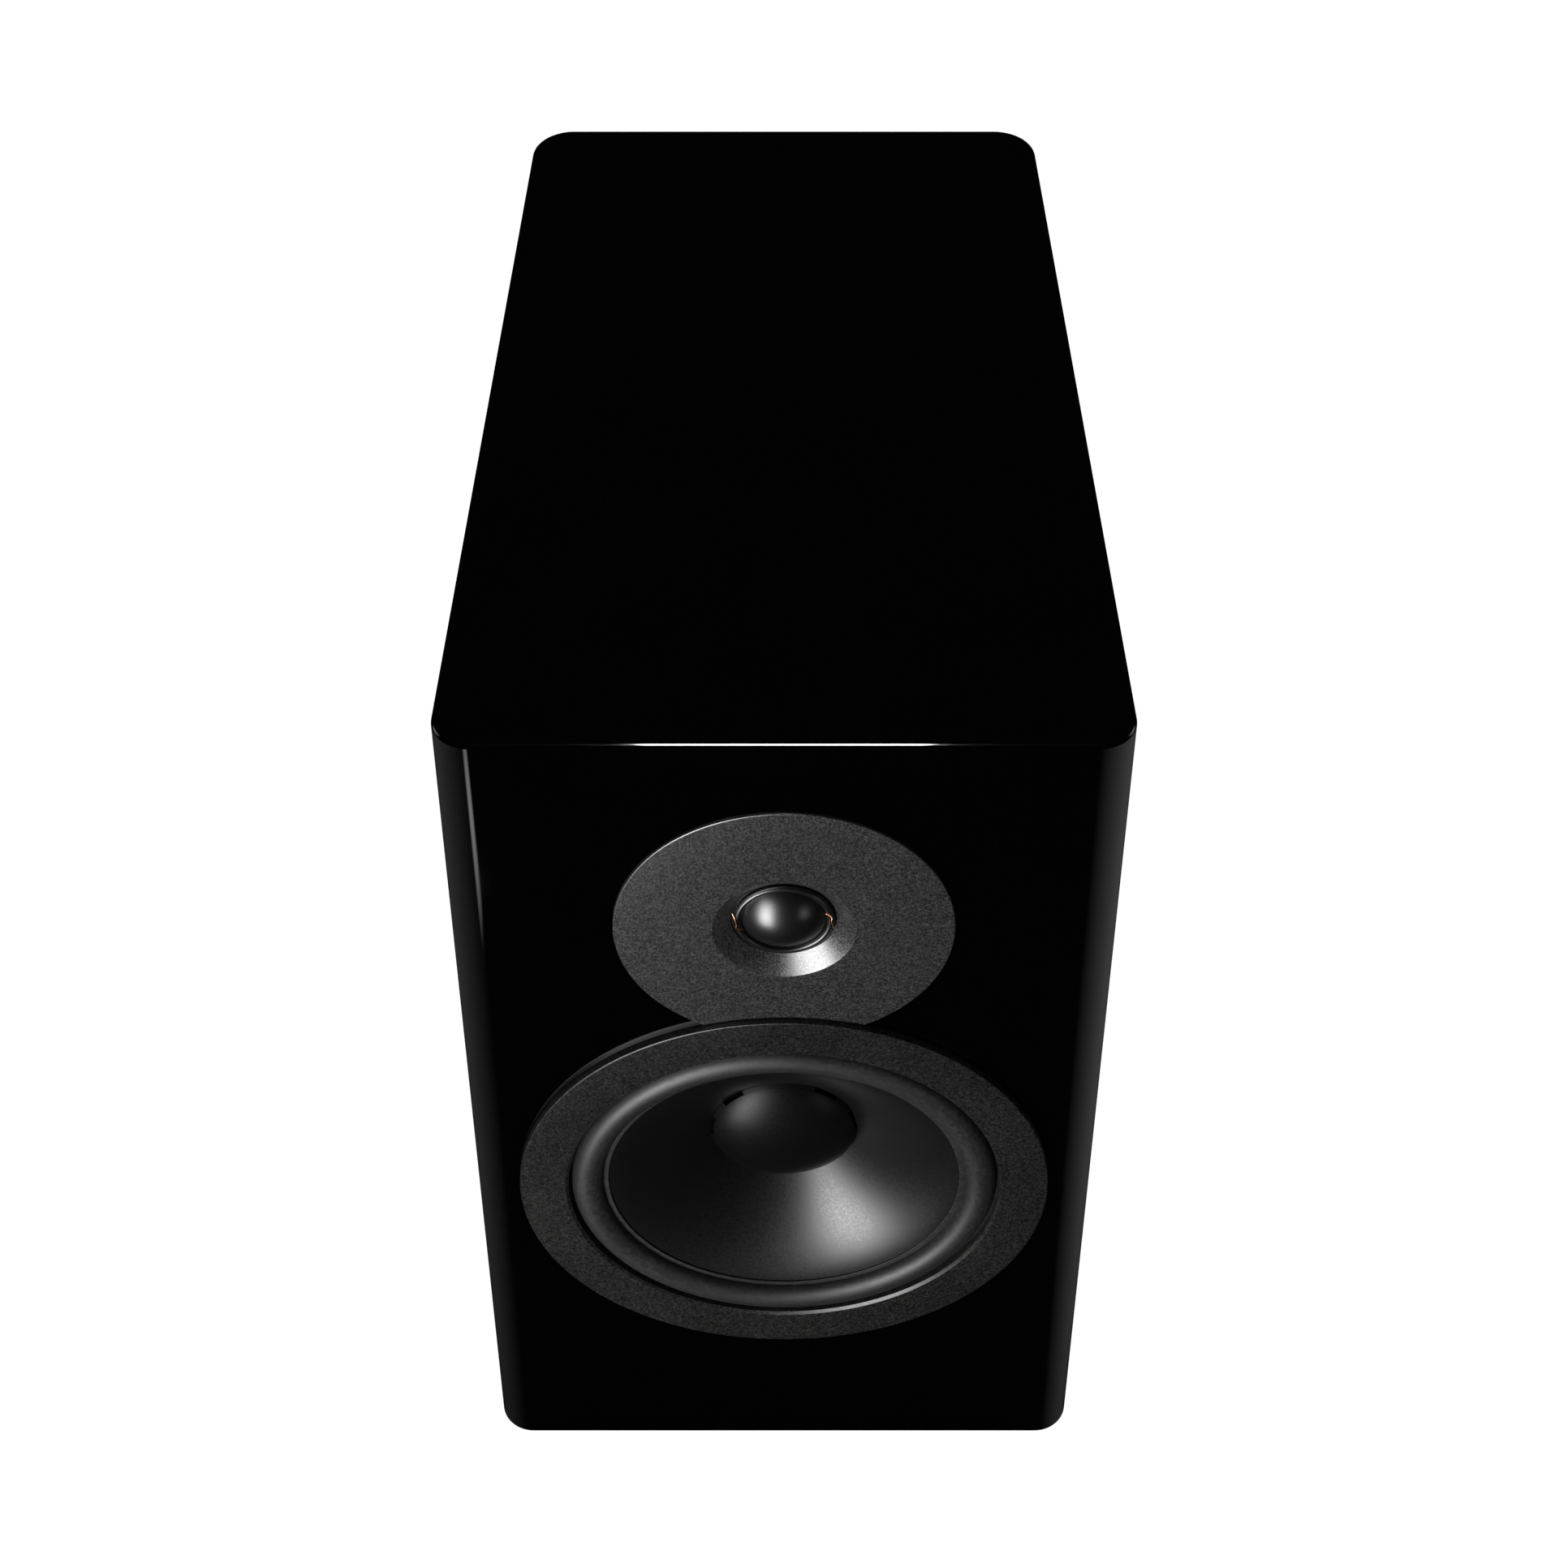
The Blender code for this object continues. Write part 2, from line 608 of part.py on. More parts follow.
def make_basket(casting):
    """The chassis: a flange on the baffle, a bell with windows, a ledge for the spider and an end ring."""
    ledge_front = SPIDER_LEDGE_DEPTH + SPIDER_THICKNESS + CLEAR
    ledge_outer = SPIDER_LEDGE_RADIUS + BASKET_WALL
    end_bore = WOOFER_COIL_RADIUS + 3 * WOOFER_COIL_THICKNESS
    profile = [
        (RING_BORE - BASKET_LEDGE, BASKET_FLANGE_FACE),
        (BASKET_FLANGE_RADIUS, BASKET_FLANGE_FACE),
        (BASKET_FLANGE_RADIUS, BASKET_FLANGE_BACK),
        (BASKET_SHOULDER, BASKET_FLANGE_BACK),
        (ledge_outer, ledge_front),
        (ledge_outer, BASKET_END_DEPTH),
        (end_bore, BASKET_END_DEPTH),
        (end_bore, BASKET_END_DEPTH - BASKET_WALL),
        (SPIDER_LEDGE_RADIUS - SPIDER_LEDGE, BASKET_END_DEPTH - BASKET_WALL),
        (SPIDER_LEDGE_RADIUS - SPIDER_LEDGE, ledge_front),
        (SPIDER_LEDGE_RADIUS, ledge_front),
        (RING_BORE - BASKET_LEDGE, BASKET_FLANGE_BACK),
    ]
    basket = turned("woofer_basket", WOOFER_ORIGIN, profile, casting)
    for angle in around(BASKET_WINDOWS, 0.0):
        window = block(
            "basket_window",
            (SPIDER_LEDGE_RADIUS + BASKET_WALL / 2, 2 * BASKET_FLANGE_BACK, -BASKET_WINDOW_WIDTH / 2),
            (BASKET_FLANGE_RADIUS, ledge_front - BASKET_WALL, BASKET_WINDOW_WIDTH / 2),
            None,
        )
        window.location = WOOFER_ORIGIN
        window.rotation_euler.y = angle
        cut(basket, window)
    for angle in WOOFER_SCREW_ANGLES:
        place = spoke(WOOFER_ORIGIN, WOOFER_SCREW_CIRCLE, angle)
        screw_hole(basket, place, 0.0, 2 * BASKET_FLANGE_BACK)


def make_surround(rubber):
    """The half-roll that joins the cone's edge to the basket's flange."""
    inner = CONE_EDGE_RADIUS + CLEAR
    outer = RING_BORE - 3 * CLEAR
    middle = (inner + outer) / 2
    reach = (outer - inner) / 2
    base = CONE_EDGE_DEPTH
    front = []
    behind = []
    steps = 2 * ARC_SEGMENTS
    for step in range(steps + 1):
        angle = math.pi * (1 - step / steps)
        across = math.cos(angle)
        rise = math.sin(angle)
        front.append((middle + reach * across, base - SURROUND_HEIGHT * rise))
        behind.append(
            (
                middle + (reach - SURROUND_THICKNESS) * across,
                base - (SURROUND_HEIGHT - SURROUND_THICKNESS) * rise,
            )
        )
    flange = outer + SURROUND_FLANGE
    flange_back = BASKET_FLANGE_FACE - CLEAR
    lip = [(flange, base - SURROUND_THICKNESS), (flange, flange_back)]
    start = [(outer, base - SURROUND_THICKNESS)]
    root = [(outer - SURROUND_THICKNESS, flange_back)]
    turned("woofer_surround", WOOFER_ORIGIN, front[:-1] + start + lip + root + behind[::-1][1:], rubber)


def make_cone(pulp, cap_finish, former):
    """The cone, its cap, and the coil behind them."""
    neck = WOOFER_COIL_RADIUS + CLEAR
    radii = (CONE_EDGE_RADIUS, (CONE_EDGE_RADIUS + CAP_RADIUS) / 2, CAP_RADIUS, neck)
    front = [(r, cone_depth(r)) for r in radii]
    turned("woofer_cone", WOOFER_ORIGIN, shell_of(front, CONE_THICKNESS), pulp)
    cap = dome_profile(CAP_RADIUS, CAP_DEPTH - CLEAR - CAP_THICKNESS, CAP_HEIGHT, ARC_SEGMENTS)
    turned("woofer_dust_cap", WOOFER_ORIGIN, shell_of(cap, CAP_THICKNESS), cap_finish)
    tube = [
        (WOOFER_COIL_RADIUS, cone_depth(neck)),
        (WOOFER_COIL_RADIUS, WOOFER_COIL_END),
        (WOOFER_COIL_RADIUS - WOOFER_COIL_THICKNESS, WOOFER_COIL_END),
        (WOOFER_COIL_RADIUS - WOOFER_COIL_THICKNESS, cone_depth(neck)),
    ]
    turned("woofer_voice_coil", WOOFER_ORIGIN, tube, former, PLAIN_SEGMENTS)


def make_spider(cloth):
    """The corrugated disc that centres the coil in its gap."""
    inner = WOOFER_COIL_RADIUS + CLEAR
    outer = SPIDER_LEDGE_RADIUS - CLEAR
    front = []
    steps = 4 * SPIDER_WAVES
    for step in range(steps + 1):
        share = step / steps
        wave = SPIDER_WAVE * math.sin(math.tau * SPIDER_WAVES * share)
        front.append((inner + (outer - inner) * share, SPIDER_LEDGE_DEPTH - CLEAR + wave))
    turned("woofer_spider", WOOFER_ORIGIN, shell_of(front, SPIDER_THICKNESS), cloth, PLAIN_SEGMENTS)


def make_woofer_motor(steel, ferrite):
    """Top plate, magnet, and back plate with its pole."""
    plate_front = BASKET_END_DEPTH + CLEAR
    magnet_front = plate_front + WOOFER_GAP_PLATE + CLEAR
    back_front = magnet_front + WOOFER_MAGNET + CLEAR
    pole = WOOFER_COIL_RADIUS - WOOFER_COIL_THICKNESS - RUNNING
    profile = ring_profile(
        WOOFER_COIL_RADIUS + RUNNING, WOOFER_GAP_PLATE_RADIUS, plate_front, WOOFER_GAP_PLATE
    )
    turned("woofer_top_plate", WOOFER_ORIGIN, profile, steel, PLAIN_SEGMENTS)
    inner = WOOFER_COIL_RADIUS + WOOFER_MAGNET_GAP
    profile = ring_profile(inner, WOOFER_MAGNET_RADIUS, magnet_front, WOOFER_MAGNET)
    turned("woofer_magnet", WOOFER_ORIGIN, profile, ferrite, PLAIN_SEGMENTS)
    yoke = yoke_profile(pole, plate_front, WOOFER_GAP_PLATE_RADIUS, back_front, WOOFER_BACK_PLATE)
    turned("woofer_back_plate", WOOFER_ORIGIN, yoke, steel, PLAIN_SEGMENTS)


def ring_profile(inner, outer, start, length):
    """A square ring's profile."""
    end = start + length
    return [(inner, start), (outer, start), (outer, end), (inner, end)]


def yoke_profile(pole, pole_front, radius, plate_front, thickness):
    """A plate with a pole that stands forward from its middle."""
    back = plate_front + thickness
    return [
        (0.0, pole_front),
        (pole, pole_front),
        (pole, plate_front),
        (radius, plate_front),
        (radius, back),
        (0.0, back),
    ]


def make_screw(name, place, head_front, head_height, material, countersunk=False):
    """A wood screw along Y: a round head in front of its seat, or a countersunk one level with it."""
    seat = head_front + head_height
    shoulder = SCREW_RADIUS if countersunk else SCREW_HEAD_RADIUS
    tip = head_front + SCREW_LENGTH - SCREW_RADIUS
    profile = [
        (0.0, head_front),
        (SCREW_HEAD_RADIUS, head_front),
        (shoulder, seat),
        (SCREW_RADIUS, seat),
        (SCREW_RADIUS, tip),
        (0.0, head_front + SCREW_LENGTH),
    ]
    if countersunk:
        profile.pop(2)
    return turned(name, place, profile, material, SMALL_SEGMENTS)


def make_woofer(trim, casting, rubber, pulp, cap_finish, former, cloth, steel, ferrite, screw_steel):
    """The whole bass and midrange driver."""
    make_ring(trim)
    make_basket(casting)
    make_surround(rubber)
    make_cone(pulp, cap_finish, former)
    make_spider(cloth)
    make_woofer_motor(steel, ferrite)
    head = BASKET_FLANGE_FACE - CLEAR - SCREW_HEAD
    for number, angle in enumerate(WOOFER_SCREW_ANGLES, 1):
        place = spoke(WOOFER_ORIGIN, WOOFER_SCREW_CIRCLE, angle)
        make_screw(f"woofer_screw_{number}", place, head, SCREW_HEAD, screw_steel)


# ---------------------------------------------------------------- tweeter


def make_faceplate(trim):
    """The plate in front of the tweeter, with a dish round the dome."""

    def not_front(first, second):
        return max(first.y, second.y) > FRONT - FACEPLATE_PROUD + ON_AXIS

    plate = prism(
        "tweeter_faceplate",
        faceplate_outline(FACEPLATE_RADIUS, RING_RADIUS + CLEAR),
        FRONT - FACEPLATE_PROUD,
        FRONT + FACEPLATE_BACK,
        trim,
        along_y=True,
        rim=FACEPLATE_EDGE,
        keep_sharp=not_front,
    )
    slope = (DISH_RADIUS - DISH_THROAT) / (FACEPLATE_PROUD + DOME_DEPTH)
    over = DISH_RADIUS + slope * CUT_MARGIN
    dish = [
        (0.0, -FACEPLATE_PROUD - CUT_MARGIN),
        (over, -FACEPLATE_PROUD - CUT_MARGIN),
        (DISH_THROAT, DOME_DEPTH),
        (DISH_THROAT, FACEPLATE_BACK + CUT_MARGIN),
        (0.0, FACEPLATE_BACK + CUT_MARGIN),
    ]
    cut(plate, turned("dish", TWEETER_ORIGIN, dish, None))


def make_dome(silk, coil_finish, copper):
    """The dome with its roll, its coil and the two lead-outs that cross the roll."""
    front = dome_profile(DOME_RADIUS, DOME_DEPTH, DOME_HEIGHT, ARC_SEGMENTS)
    turned("tweeter_dome", TWEETER_ORIGIN, shell_of(front, DOME_THICKNESS), silk, PLAIN_SEGMENTS)
    coil = DOME_RADIUS - CLEAR
    coil_start = DOME_DEPTH + DOME_THICKNESS + CLEAR
    profile = ring_profile(coil - TWEETER_COIL_THICKNESS, coil, coil_start, TWEETER_COIL_END - coil_start)
    turned("tweeter_voice_coil", TWEETER_ORIGIN, profile, coil_finish, PLAIN_SEGMENTS)
    inner = DOME_RADIUS + CLEAR
    middle = (inner + ROLL_OUTER) / 2
    reach = (ROLL_OUTER - inner) / 2
    flange_front = FACEPLATE_BACK + CLEAR
    roll = []
    for step in range(ARC_SEGMENTS + 1):
        angle = math.pi * (1 - step / ARC_SEGMENTS)
        roll.append((middle + reach * math.cos(angle), DOME_DEPTH - ROLL_HEIGHT * math.sin(angle)))
    roll += [(ROLL_OUTER + CLEAR, flange_front), (ROLL_OUTER + ROLL_FLANGE, flange_front)]
    turned("tweeter_surround", TWEETER_ORIGIN, shell_of(roll, ROLL_THICKNESS), silk, PLAIN_SEGMENTS)
    above = DOME_DEPTH - ROLL_HEIGHT - CLEAR - LEAD_RADIUS
    for name, side in (("tweeter_lead_right", 1), ("tweeter_lead_left", -1)):
        outer = DISH_THROAT - CLEAR - LEAD_RADIUS
        route = [
            (side * outer, above, LEAD_RISE),
            (side * (outer - CLEAR), above - LEAD_RADIUS, LEAD_RISE / 2),
            (side * (middle + CLEAR), above - LEAD_RADIUS, 0.0),
            (side * middle, above, -LEAD_RISE / 2),
            (side * inner, above, -LEAD_RISE / 2 - CLEAR),
        ]
        points = [TWEETER_ORIGIN + Vector(point) for point in route]
        make_wire(name, smooth_route(points, LEAD_RISE / 4), LEAD_RADIUS, copper)


def make_tweeter_motor(steel, ferrite, moulding):
    """The top plate that mounts the tweeter, its magnet, back plate and rear chamber."""
    pole = DOME_RADIUS - CLEAR - TWEETER_COIL_THICKNESS - RUNNING
    profile = ring_profile(
        DOME_RADIUS - CLEAR + RUNNING, TWEETER_PLATE_RADIUS, TWEETER_PLATE_FACE, TWEETER_PLATE
    )
    plate = turned("tweeter_top_plate", TWEETER_ORIGIN, profile, steel)
    head = SCREW_HEAD_RADIUS - SCREW_RADIUS
    over = CUT_MARGIN / 2
    for angle in TWEETER_SCREW_ANGLES:
        place = spoke(TWEETER_ORIGIN, TWEETER_SCREW_CIRCLE, angle)
        countersink = [
            (0.0, TWEETER_PLATE_FACE - over),
            (SCREW_HEAD_RADIUS + CLEAR + over, TWEETER_PLATE_FACE - over),
            (SCREW_RADIUS + CLEAR, TWEETER_PLATE_FACE + head),
            (SCREW_RADIUS + CLEAR, TWEETER_PLATE_BACK + CUT_MARGIN),
            (0.0, TWEETER_PLATE_BACK + CUT_MARGIN),
        ]
        cut(plate, turned("countersink", place, countersink, None, SMALL_SEGMENTS))
    magnet_front = TWEETER_PLATE_BACK + CLEAR
    inner = DOME_RADIUS + TWEETER_MAGNET_GAP
    profile = ring_profile(inner, TWEETER_MAGNET_RADIUS, magnet_front, TWEETER_MAGNET)
    turned("tweeter_magnet", TWEETER_ORIGIN, profile, ferrite, PLAIN_SEGMENTS)
    back_front = magnet_front + TWEETER_MAGNET + CLEAR
    yoke = yoke_profile(
        pole, TWEETER_PLATE_FACE + RUNNING, TWEETER_MAGNET_RADIUS, back_front, TWEETER_BACK_PLATE
    )
    turned("tweeter_back_plate", TWEETER_ORIGIN, yoke, steel, PLAIN_SEGMENTS)
    start = back_front + TWEETER_BACK_PLATE + CLEAR
    inner = TWEETER_MAGNET_RADIUS - TWEETER_CHAMBER_WALL
    end = start + TWEETER_CHAMBER
    cup = [
        (inner, start),
        (TWEETER_MAGNET_RADIUS, start),
        (TWEETER_MAGNET_RADIUS, end),
        (0.0, end),
        (0.0, end - TWEETER_CHAMBER_WALL),
        (inner, end - TWEETER_CHAMBER_WALL),
    ]
    turned("tweeter_rear_chamber", TWEETER_ORIGIN, cup, moulding, PLAIN_SEGMENTS)
    return end


def make_tweeter(trim, silk, coil_finish, copper, steel, ferrite, moulding, screw_steel):
    """The whole treble driver. Returns how deep it reaches."""
    make_faceplate(trim)
    make_dome(silk, coil_finish, copper)
    end = make_tweeter_motor(steel, ferrite, moulding)
    head = SCREW_HEAD_RADIUS - SCREW_RADIUS
    for number, angle in enumerate(TWEETER_SCREW_ANGLES, 1):
        place = spoke(TWEETER_ORIGIN, TWEETER_SCREW_CIRCLE, angle)
        name = f"tweeter_screw_{number}"
        make_screw(name, place, TWEETER_PLATE_FACE, head, screw_steel, countersunk=True)
    return end


# ---------------------------------------------------------------- port and terminals


def make_port(moulding):
    """A straight tube with a flared mouth and a flange that sits level with the back."""
    outer = PORT_BORE + PORT_WALL
    mouth = []
    for step in range(ARC_SEGMENTS + 1):
        angle = math.pi / 2 * step / ARC_SEGMENTS
        mouth.append(
            (PORT_BORE + PORT_FLARE * (1 - math.cos(angle)), -PORT_FLARE * (1 - math.sin(angle)))
        )
    profile = [
        (PORT_BORE, -PORT_LENGTH),
        *mouth,
        (PORT_FLANGE_RADIUS, 0.0),
        (PORT_FLANGE_RADIUS, -PORT_FLANGE),
        (PORT_BORE + PORT_FLARE + PORT_WALL - CLEAR, -PORT_FLANGE),
        (PORT_BORE + PORT_FLARE + PORT_WALL - CLEAR, -PORT_FLARE / 2),
        (outer, -PORT_FLARE),
        (outer, -PORT_LENGTH),
    ]
    turned("port_tube", PORT_ORIGIN, profile, moulding, PORT_SEGMENTS)


def terminal_screw_places():
    """The four screws of the terminal plate, on the cabinet's back."""
    across = TERMINAL_PLATE_WIDTH / 2 - TERMINAL_SCREW_INSET
    up = TERMINAL_PLATE_HEIGHT / 2 - TERMINAL_SCREW_INSET
    corners = ((1, 1), (-1, 1), (-1, -1), (1, -1))
    return [Vector((x * across, BACK, TERMINAL_HEIGHT + z * up)) for x, z in corners]


def make_terminal_plate(moulding, screw_steel):
    """The plate that carries the binding posts, and its screws."""
    outline = rounded_rectangle(
        (0.0, TERMINAL_HEIGHT), TERMINAL_PLATE_WIDTH, TERMINAL_PLATE_HEIGHT, TERMINAL_PLATE_CORNER
    )
    back = TERMINAL_FACE - TERMINAL_PLATE
    plate = prism("terminal_plate", outline, back, TERMINAL_FACE, moulding, along_y=True)
    face = TERMINAL_FACE - BACK
    for number, place in enumerate(terminal_screw_places(), 1):
        screw_hole(plate, place, -2 * TERMINAL_PLATE, CUT_MARGIN)
        head_back = face + CLEAR
        profile = [
            (0.0, head_back + SCREW_HEAD),
            (SCREW_HEAD_RADIUS / 2, head_back + SCREW_HEAD),
            (SCREW_HEAD_RADIUS, head_back + SCREW_HEAD / 2),
            (SCREW_HEAD_RADIUS, head_back),
            (SCREW_RADIUS, head_back),
            (SCREW_RADIUS, -SCREW_LENGTH + SCREW_RADIUS),
            (0.0, -SCREW_LENGTH),
        ]
        turned(f"terminal_screw_{number}", place, profile, screw_steel, SMALL_SEGMENTS)
    for _, side in POSTS:
        place = post_origin(side)
        bore(plate, place, [(POST_STUD_RADIUS + CLEAR, -2 * TERMINAL_PLATE)], CUT_MARGIN, POST_SEGMENTS)


def post_origin(side):
    """Where a binding post's axis leaves the terminal plate."""
    return Vector((side * POST_SPACING / 2, TERMINAL_FACE, TERMINAL_HEIGHT))


def knob_outline():
    """A round grip with flutes, about its own axis."""
    outline = []
    steps = FLUTE_SEGMENTS * POST_KNOB_FLUTES
    for step in range(steps):
        angle = math.tau * step / steps
        groove = max(0.0, math.cos(POST_KNOB_FLUTES * angle))
        radius = POST_KNOB_RADIUS - POST_KNOB_FLUTE_RADIUS * groove
        outline.append((radius * math.cos(angle), radius * math.sin(angle)))
    return outline


def make_posts(moulding, gilt, caps):
    """Two binding posts: bush, threaded stud with a socket, clamp washer, and knob."""
    washer_start = CLEAR + POST_BUSH + CLEAR
    knob_start = washer_start + POST_WASHER + CLEAR
    hole = POST_STUD_RADIUS + CLEAR
    for colour, side in POSTS:
        origin = post_origin(side)
        bush = ring_profile(hole, POST_BUSH_RADIUS, CLEAR, POST_BUSH)
        turned(f"post_bush_{colour}", origin, bush, moulding, POST_SEGMENTS)
        socket_floor = POST_STUD_LENGTH - POST_SOCKET_DEPTH
        stud = [
            (0.0, -TERMINAL_PLATE - POST_STUD_INSIDE),
            (POST_STUD_RADIUS, -TERMINAL_PLATE - POST_STUD_INSIDE),
            (POST_STUD_RADIUS, POST_STUD_LENGTH),
            (POST_SOCKET_RADIUS, POST_STUD_LENGTH),
            (POST_SOCKET_RADIUS, socket_floor),
            (0.0, socket_floor),
        ]
        turned(f"post_stud_{colour}", origin, stud, gilt, POST_SEGMENTS)
        washer = ring_profile(hole, POST_WASHER_RADIUS, washer_start, POST_WASHER)
        turned(f"post_washer_{colour}", origin, washer, gilt, POST_SEGMENTS)
        knob = prism(
            f"post_knob_{colour}",
            knob_outline(),
            knob_start,
            knob_start + POST_KNOB,
            caps[colour],
            along_y=True,
        )
        knob.location = origin
        end = knob_start + POST_KNOB + CUT_MARGIN
        bore(knob, origin, [(hole, knob_start - CUT_MARGIN)], end, POST_SEGMENTS)


# ---------------------------------------------------------------- crossover and wiring


def smooth_route(points, step):
    """Points a step apart on a smooth curve through the given ones."""
    ends = [2 * points[0] - points[1], *points, 2 * points[-1] - points[-2]]
    found = [points[0].copy()]
    for a, b, c, d in zip(ends, ends[1:], ends[2:], ends[3:]):
        count = max(2, math.ceil((c - b).length / step))
        for n in range(1, count + 1):
            t = n / count
            bend = 2 * a - 5 * b + 4 * c - d
            twist = 3 * b - a - 3 * c + d
            found.append((2 * b + (c - a) * t + bend * t**2 + twist * t**3) / 2)
    return found


def make_wire(name, points, radius, material):
    """A round wire along a route, with closed ends."""
    curve = bpy.data.curves.new(name, "CURVE")
    curve.dimensions = "3D"
    curve.bevel_depth = radius
    curve.bevel_resolution = 2
    curve.use_fill_caps = True
    spline = curve.splines.new("POLY")
    spline.points.add(len(points) - 1)
    for spot, point in zip(spline.points, points):
        spot.co = (*point, 1.0)
    curve.materials.append(material)
    made = bpy.data.objects.new(name, curve)
    bpy.context.scene.collection.objects.link(made)


def lying(name, start, radius, length, material):
    """A round part that lies along Y on the board."""
    profile = [(0.0, 0.0), (radius, 0.0), (radius, length), (0.0, length)]
    turned(name, start + Vector((0.0, 0.0, radius)), profile, material, SMALL_SEGMENTS)


def make_crossover(board_finish, copper, film, cement):
    """The filter board on the cabinet's floor, behind the woofer."""
    back = PANEL_BACK - BOARD_EDGE
    front = back - BOARD_DEPTH
    half = BOARD_WIDTH / 2
    block(
        "crossover_board", (-half, front, FLOOR_INSIDE + CLEAR), (half, back, BOARD_TOP), board_finish
    )
    seat = BOARD_TOP + CLEAR
    place = Vector((-half + BOARD_EDGE + INDUCTOR_RADIUS, front + BOARD_EDGE + INDUCTOR_RADIUS, seat))
    profile = ring_profile(INDUCTOR_BORE, INDUCTOR_RADIUS, 0.0, INDUCTOR_HEIGHT)
    turned_upright("inductor_woofer", place, profile, copper, PLAIN_SEGMENTS)
    place = place + Vector((INDUCTOR_RADIUS + PART_SPACING + SMALL_INDUCTOR_RADIUS, 0.0, 0.0))
    profile = ring_profile(SMALL_INDUCTOR_BORE, SMALL_INDUCTOR_RADIUS, 0.0, SMALL_INDUCTOR_HEIGHT)
    turned_upright("inductor_tweeter", place, profile, copper, SMALL_SEGMENTS)
    row = front + BOARD_EDGE + 2 * INDUCTOR_RADIUS + PART_SPACING
    across = -half + BOARD_EDGE + CAPACITOR_RADIUS
    lying("capacitor_woofer", Vector((across, row, seat)), CAPACITOR_RADIUS, CAPACITOR_LENGTH, film)
    across += CAPACITOR_RADIUS + PART_SPACING + SMALL_CAPACITOR_RADIUS
    start = Vector((across, row, seat))
    lying("capacitor_tweeter", start, SMALL_CAPACITOR_RADIUS, SMALL_CAPACITOR_LENGTH, film)
    across += SMALL_CAPACITOR_RADIUS + PART_SPACING
    end = (across + RESISTOR_SIDE, row + RESISTOR_LENGTH, seat + RESISTOR_SIDE)
    block("crossover_resistor", (across, row, seat), end, cement)
    return half, front, back


def make_wiring(board_half, board_front, board_back, tweeter_end, insulation):
    """Twin leads from the posts to the board, and from the board to each driver."""
    level = BOARD_TOP + CLEAR + WIRE_RADIUS
    edge = board_half - BOARD_EDGE
    stud_end = TERMINAL_FACE - TERMINAL_PLATE - POST_STUD_INSIDE
    start = Vector((0.0, stud_end - CLEAR, TERMINAL_HEIGHT))
    route = [
        start,
        start + Vector((edge / 2, -BOARD_EDGE, -PART_SPACING)),
        Vector((edge, board_back - 2 * BOARD_EDGE, (TERMINAL_HEIGHT + level) / 2)),
        Vector((edge, board_back - 3 * BOARD_EDGE, level)),
    ]
    make_wire("input_lead", smooth_route(route, WIRE_STEP), WIRE_RADIUS, insulation)
    magnet_end = FRONT + BASKET_END_DEPTH + WOOFER_GAP_PLATE + WOOFER_MAGNET
    beside = WOOFER_MAGNET_RADIUS + 3 * WIRE_RADIUS
    route = [
        Vector((edge, board_front + BOARD_EDGE, level)),
        Vector((edge + PART_SPACING, board_front - PART_SPACING, (WOOFER_Z + level) / 2)),
        Vector((beside, magnet_end, WOOFER_Z - PART_SPACING)),
        Vector((beside, FRONT + BASKET_END_DEPTH, WOOFER_Z)),
    ]
    make_wire("woofer_lead", smooth_route(route, WIRE_STEP), WIRE_RADIUS, insulation)
    lane = WOOFER_GAP_PLATE_RADIUS - BRACE_BORDER
    route = [
        Vector((edge - 2 * PART_SPACING, board_back - 3 * BOARD_EDGE, level)),
        Vector((edge - 2 * PART_SPACING, BOARD_EDGE, (TERMINAL_HEIGHT + level) / 2)),
        Vector((lane, -BOARD_EDGE, WOOFER_Z + WOOFER_MAGNET_RADIUS)),
        Vector((lane, -BOARD_EDGE, brace_bottom() + BRACE_THICKNESS)),
        Vector((0.0, FRONT + tweeter_end + 3 * PART_SPACING, TWEETER_Z - PART_SPACING)),
        Vector((0.0, FRONT + tweeter_end + PART_SPACING, TWEETER_Z)),
        Vector((0.0, FRONT + tweeter_end + WIRE_RADIUS, TWEETER_Z)),
    ]
    make_wire("tweeter_wiring", smooth_route(route, WIRE_STEP), WIRE_RADIUS, insulation)


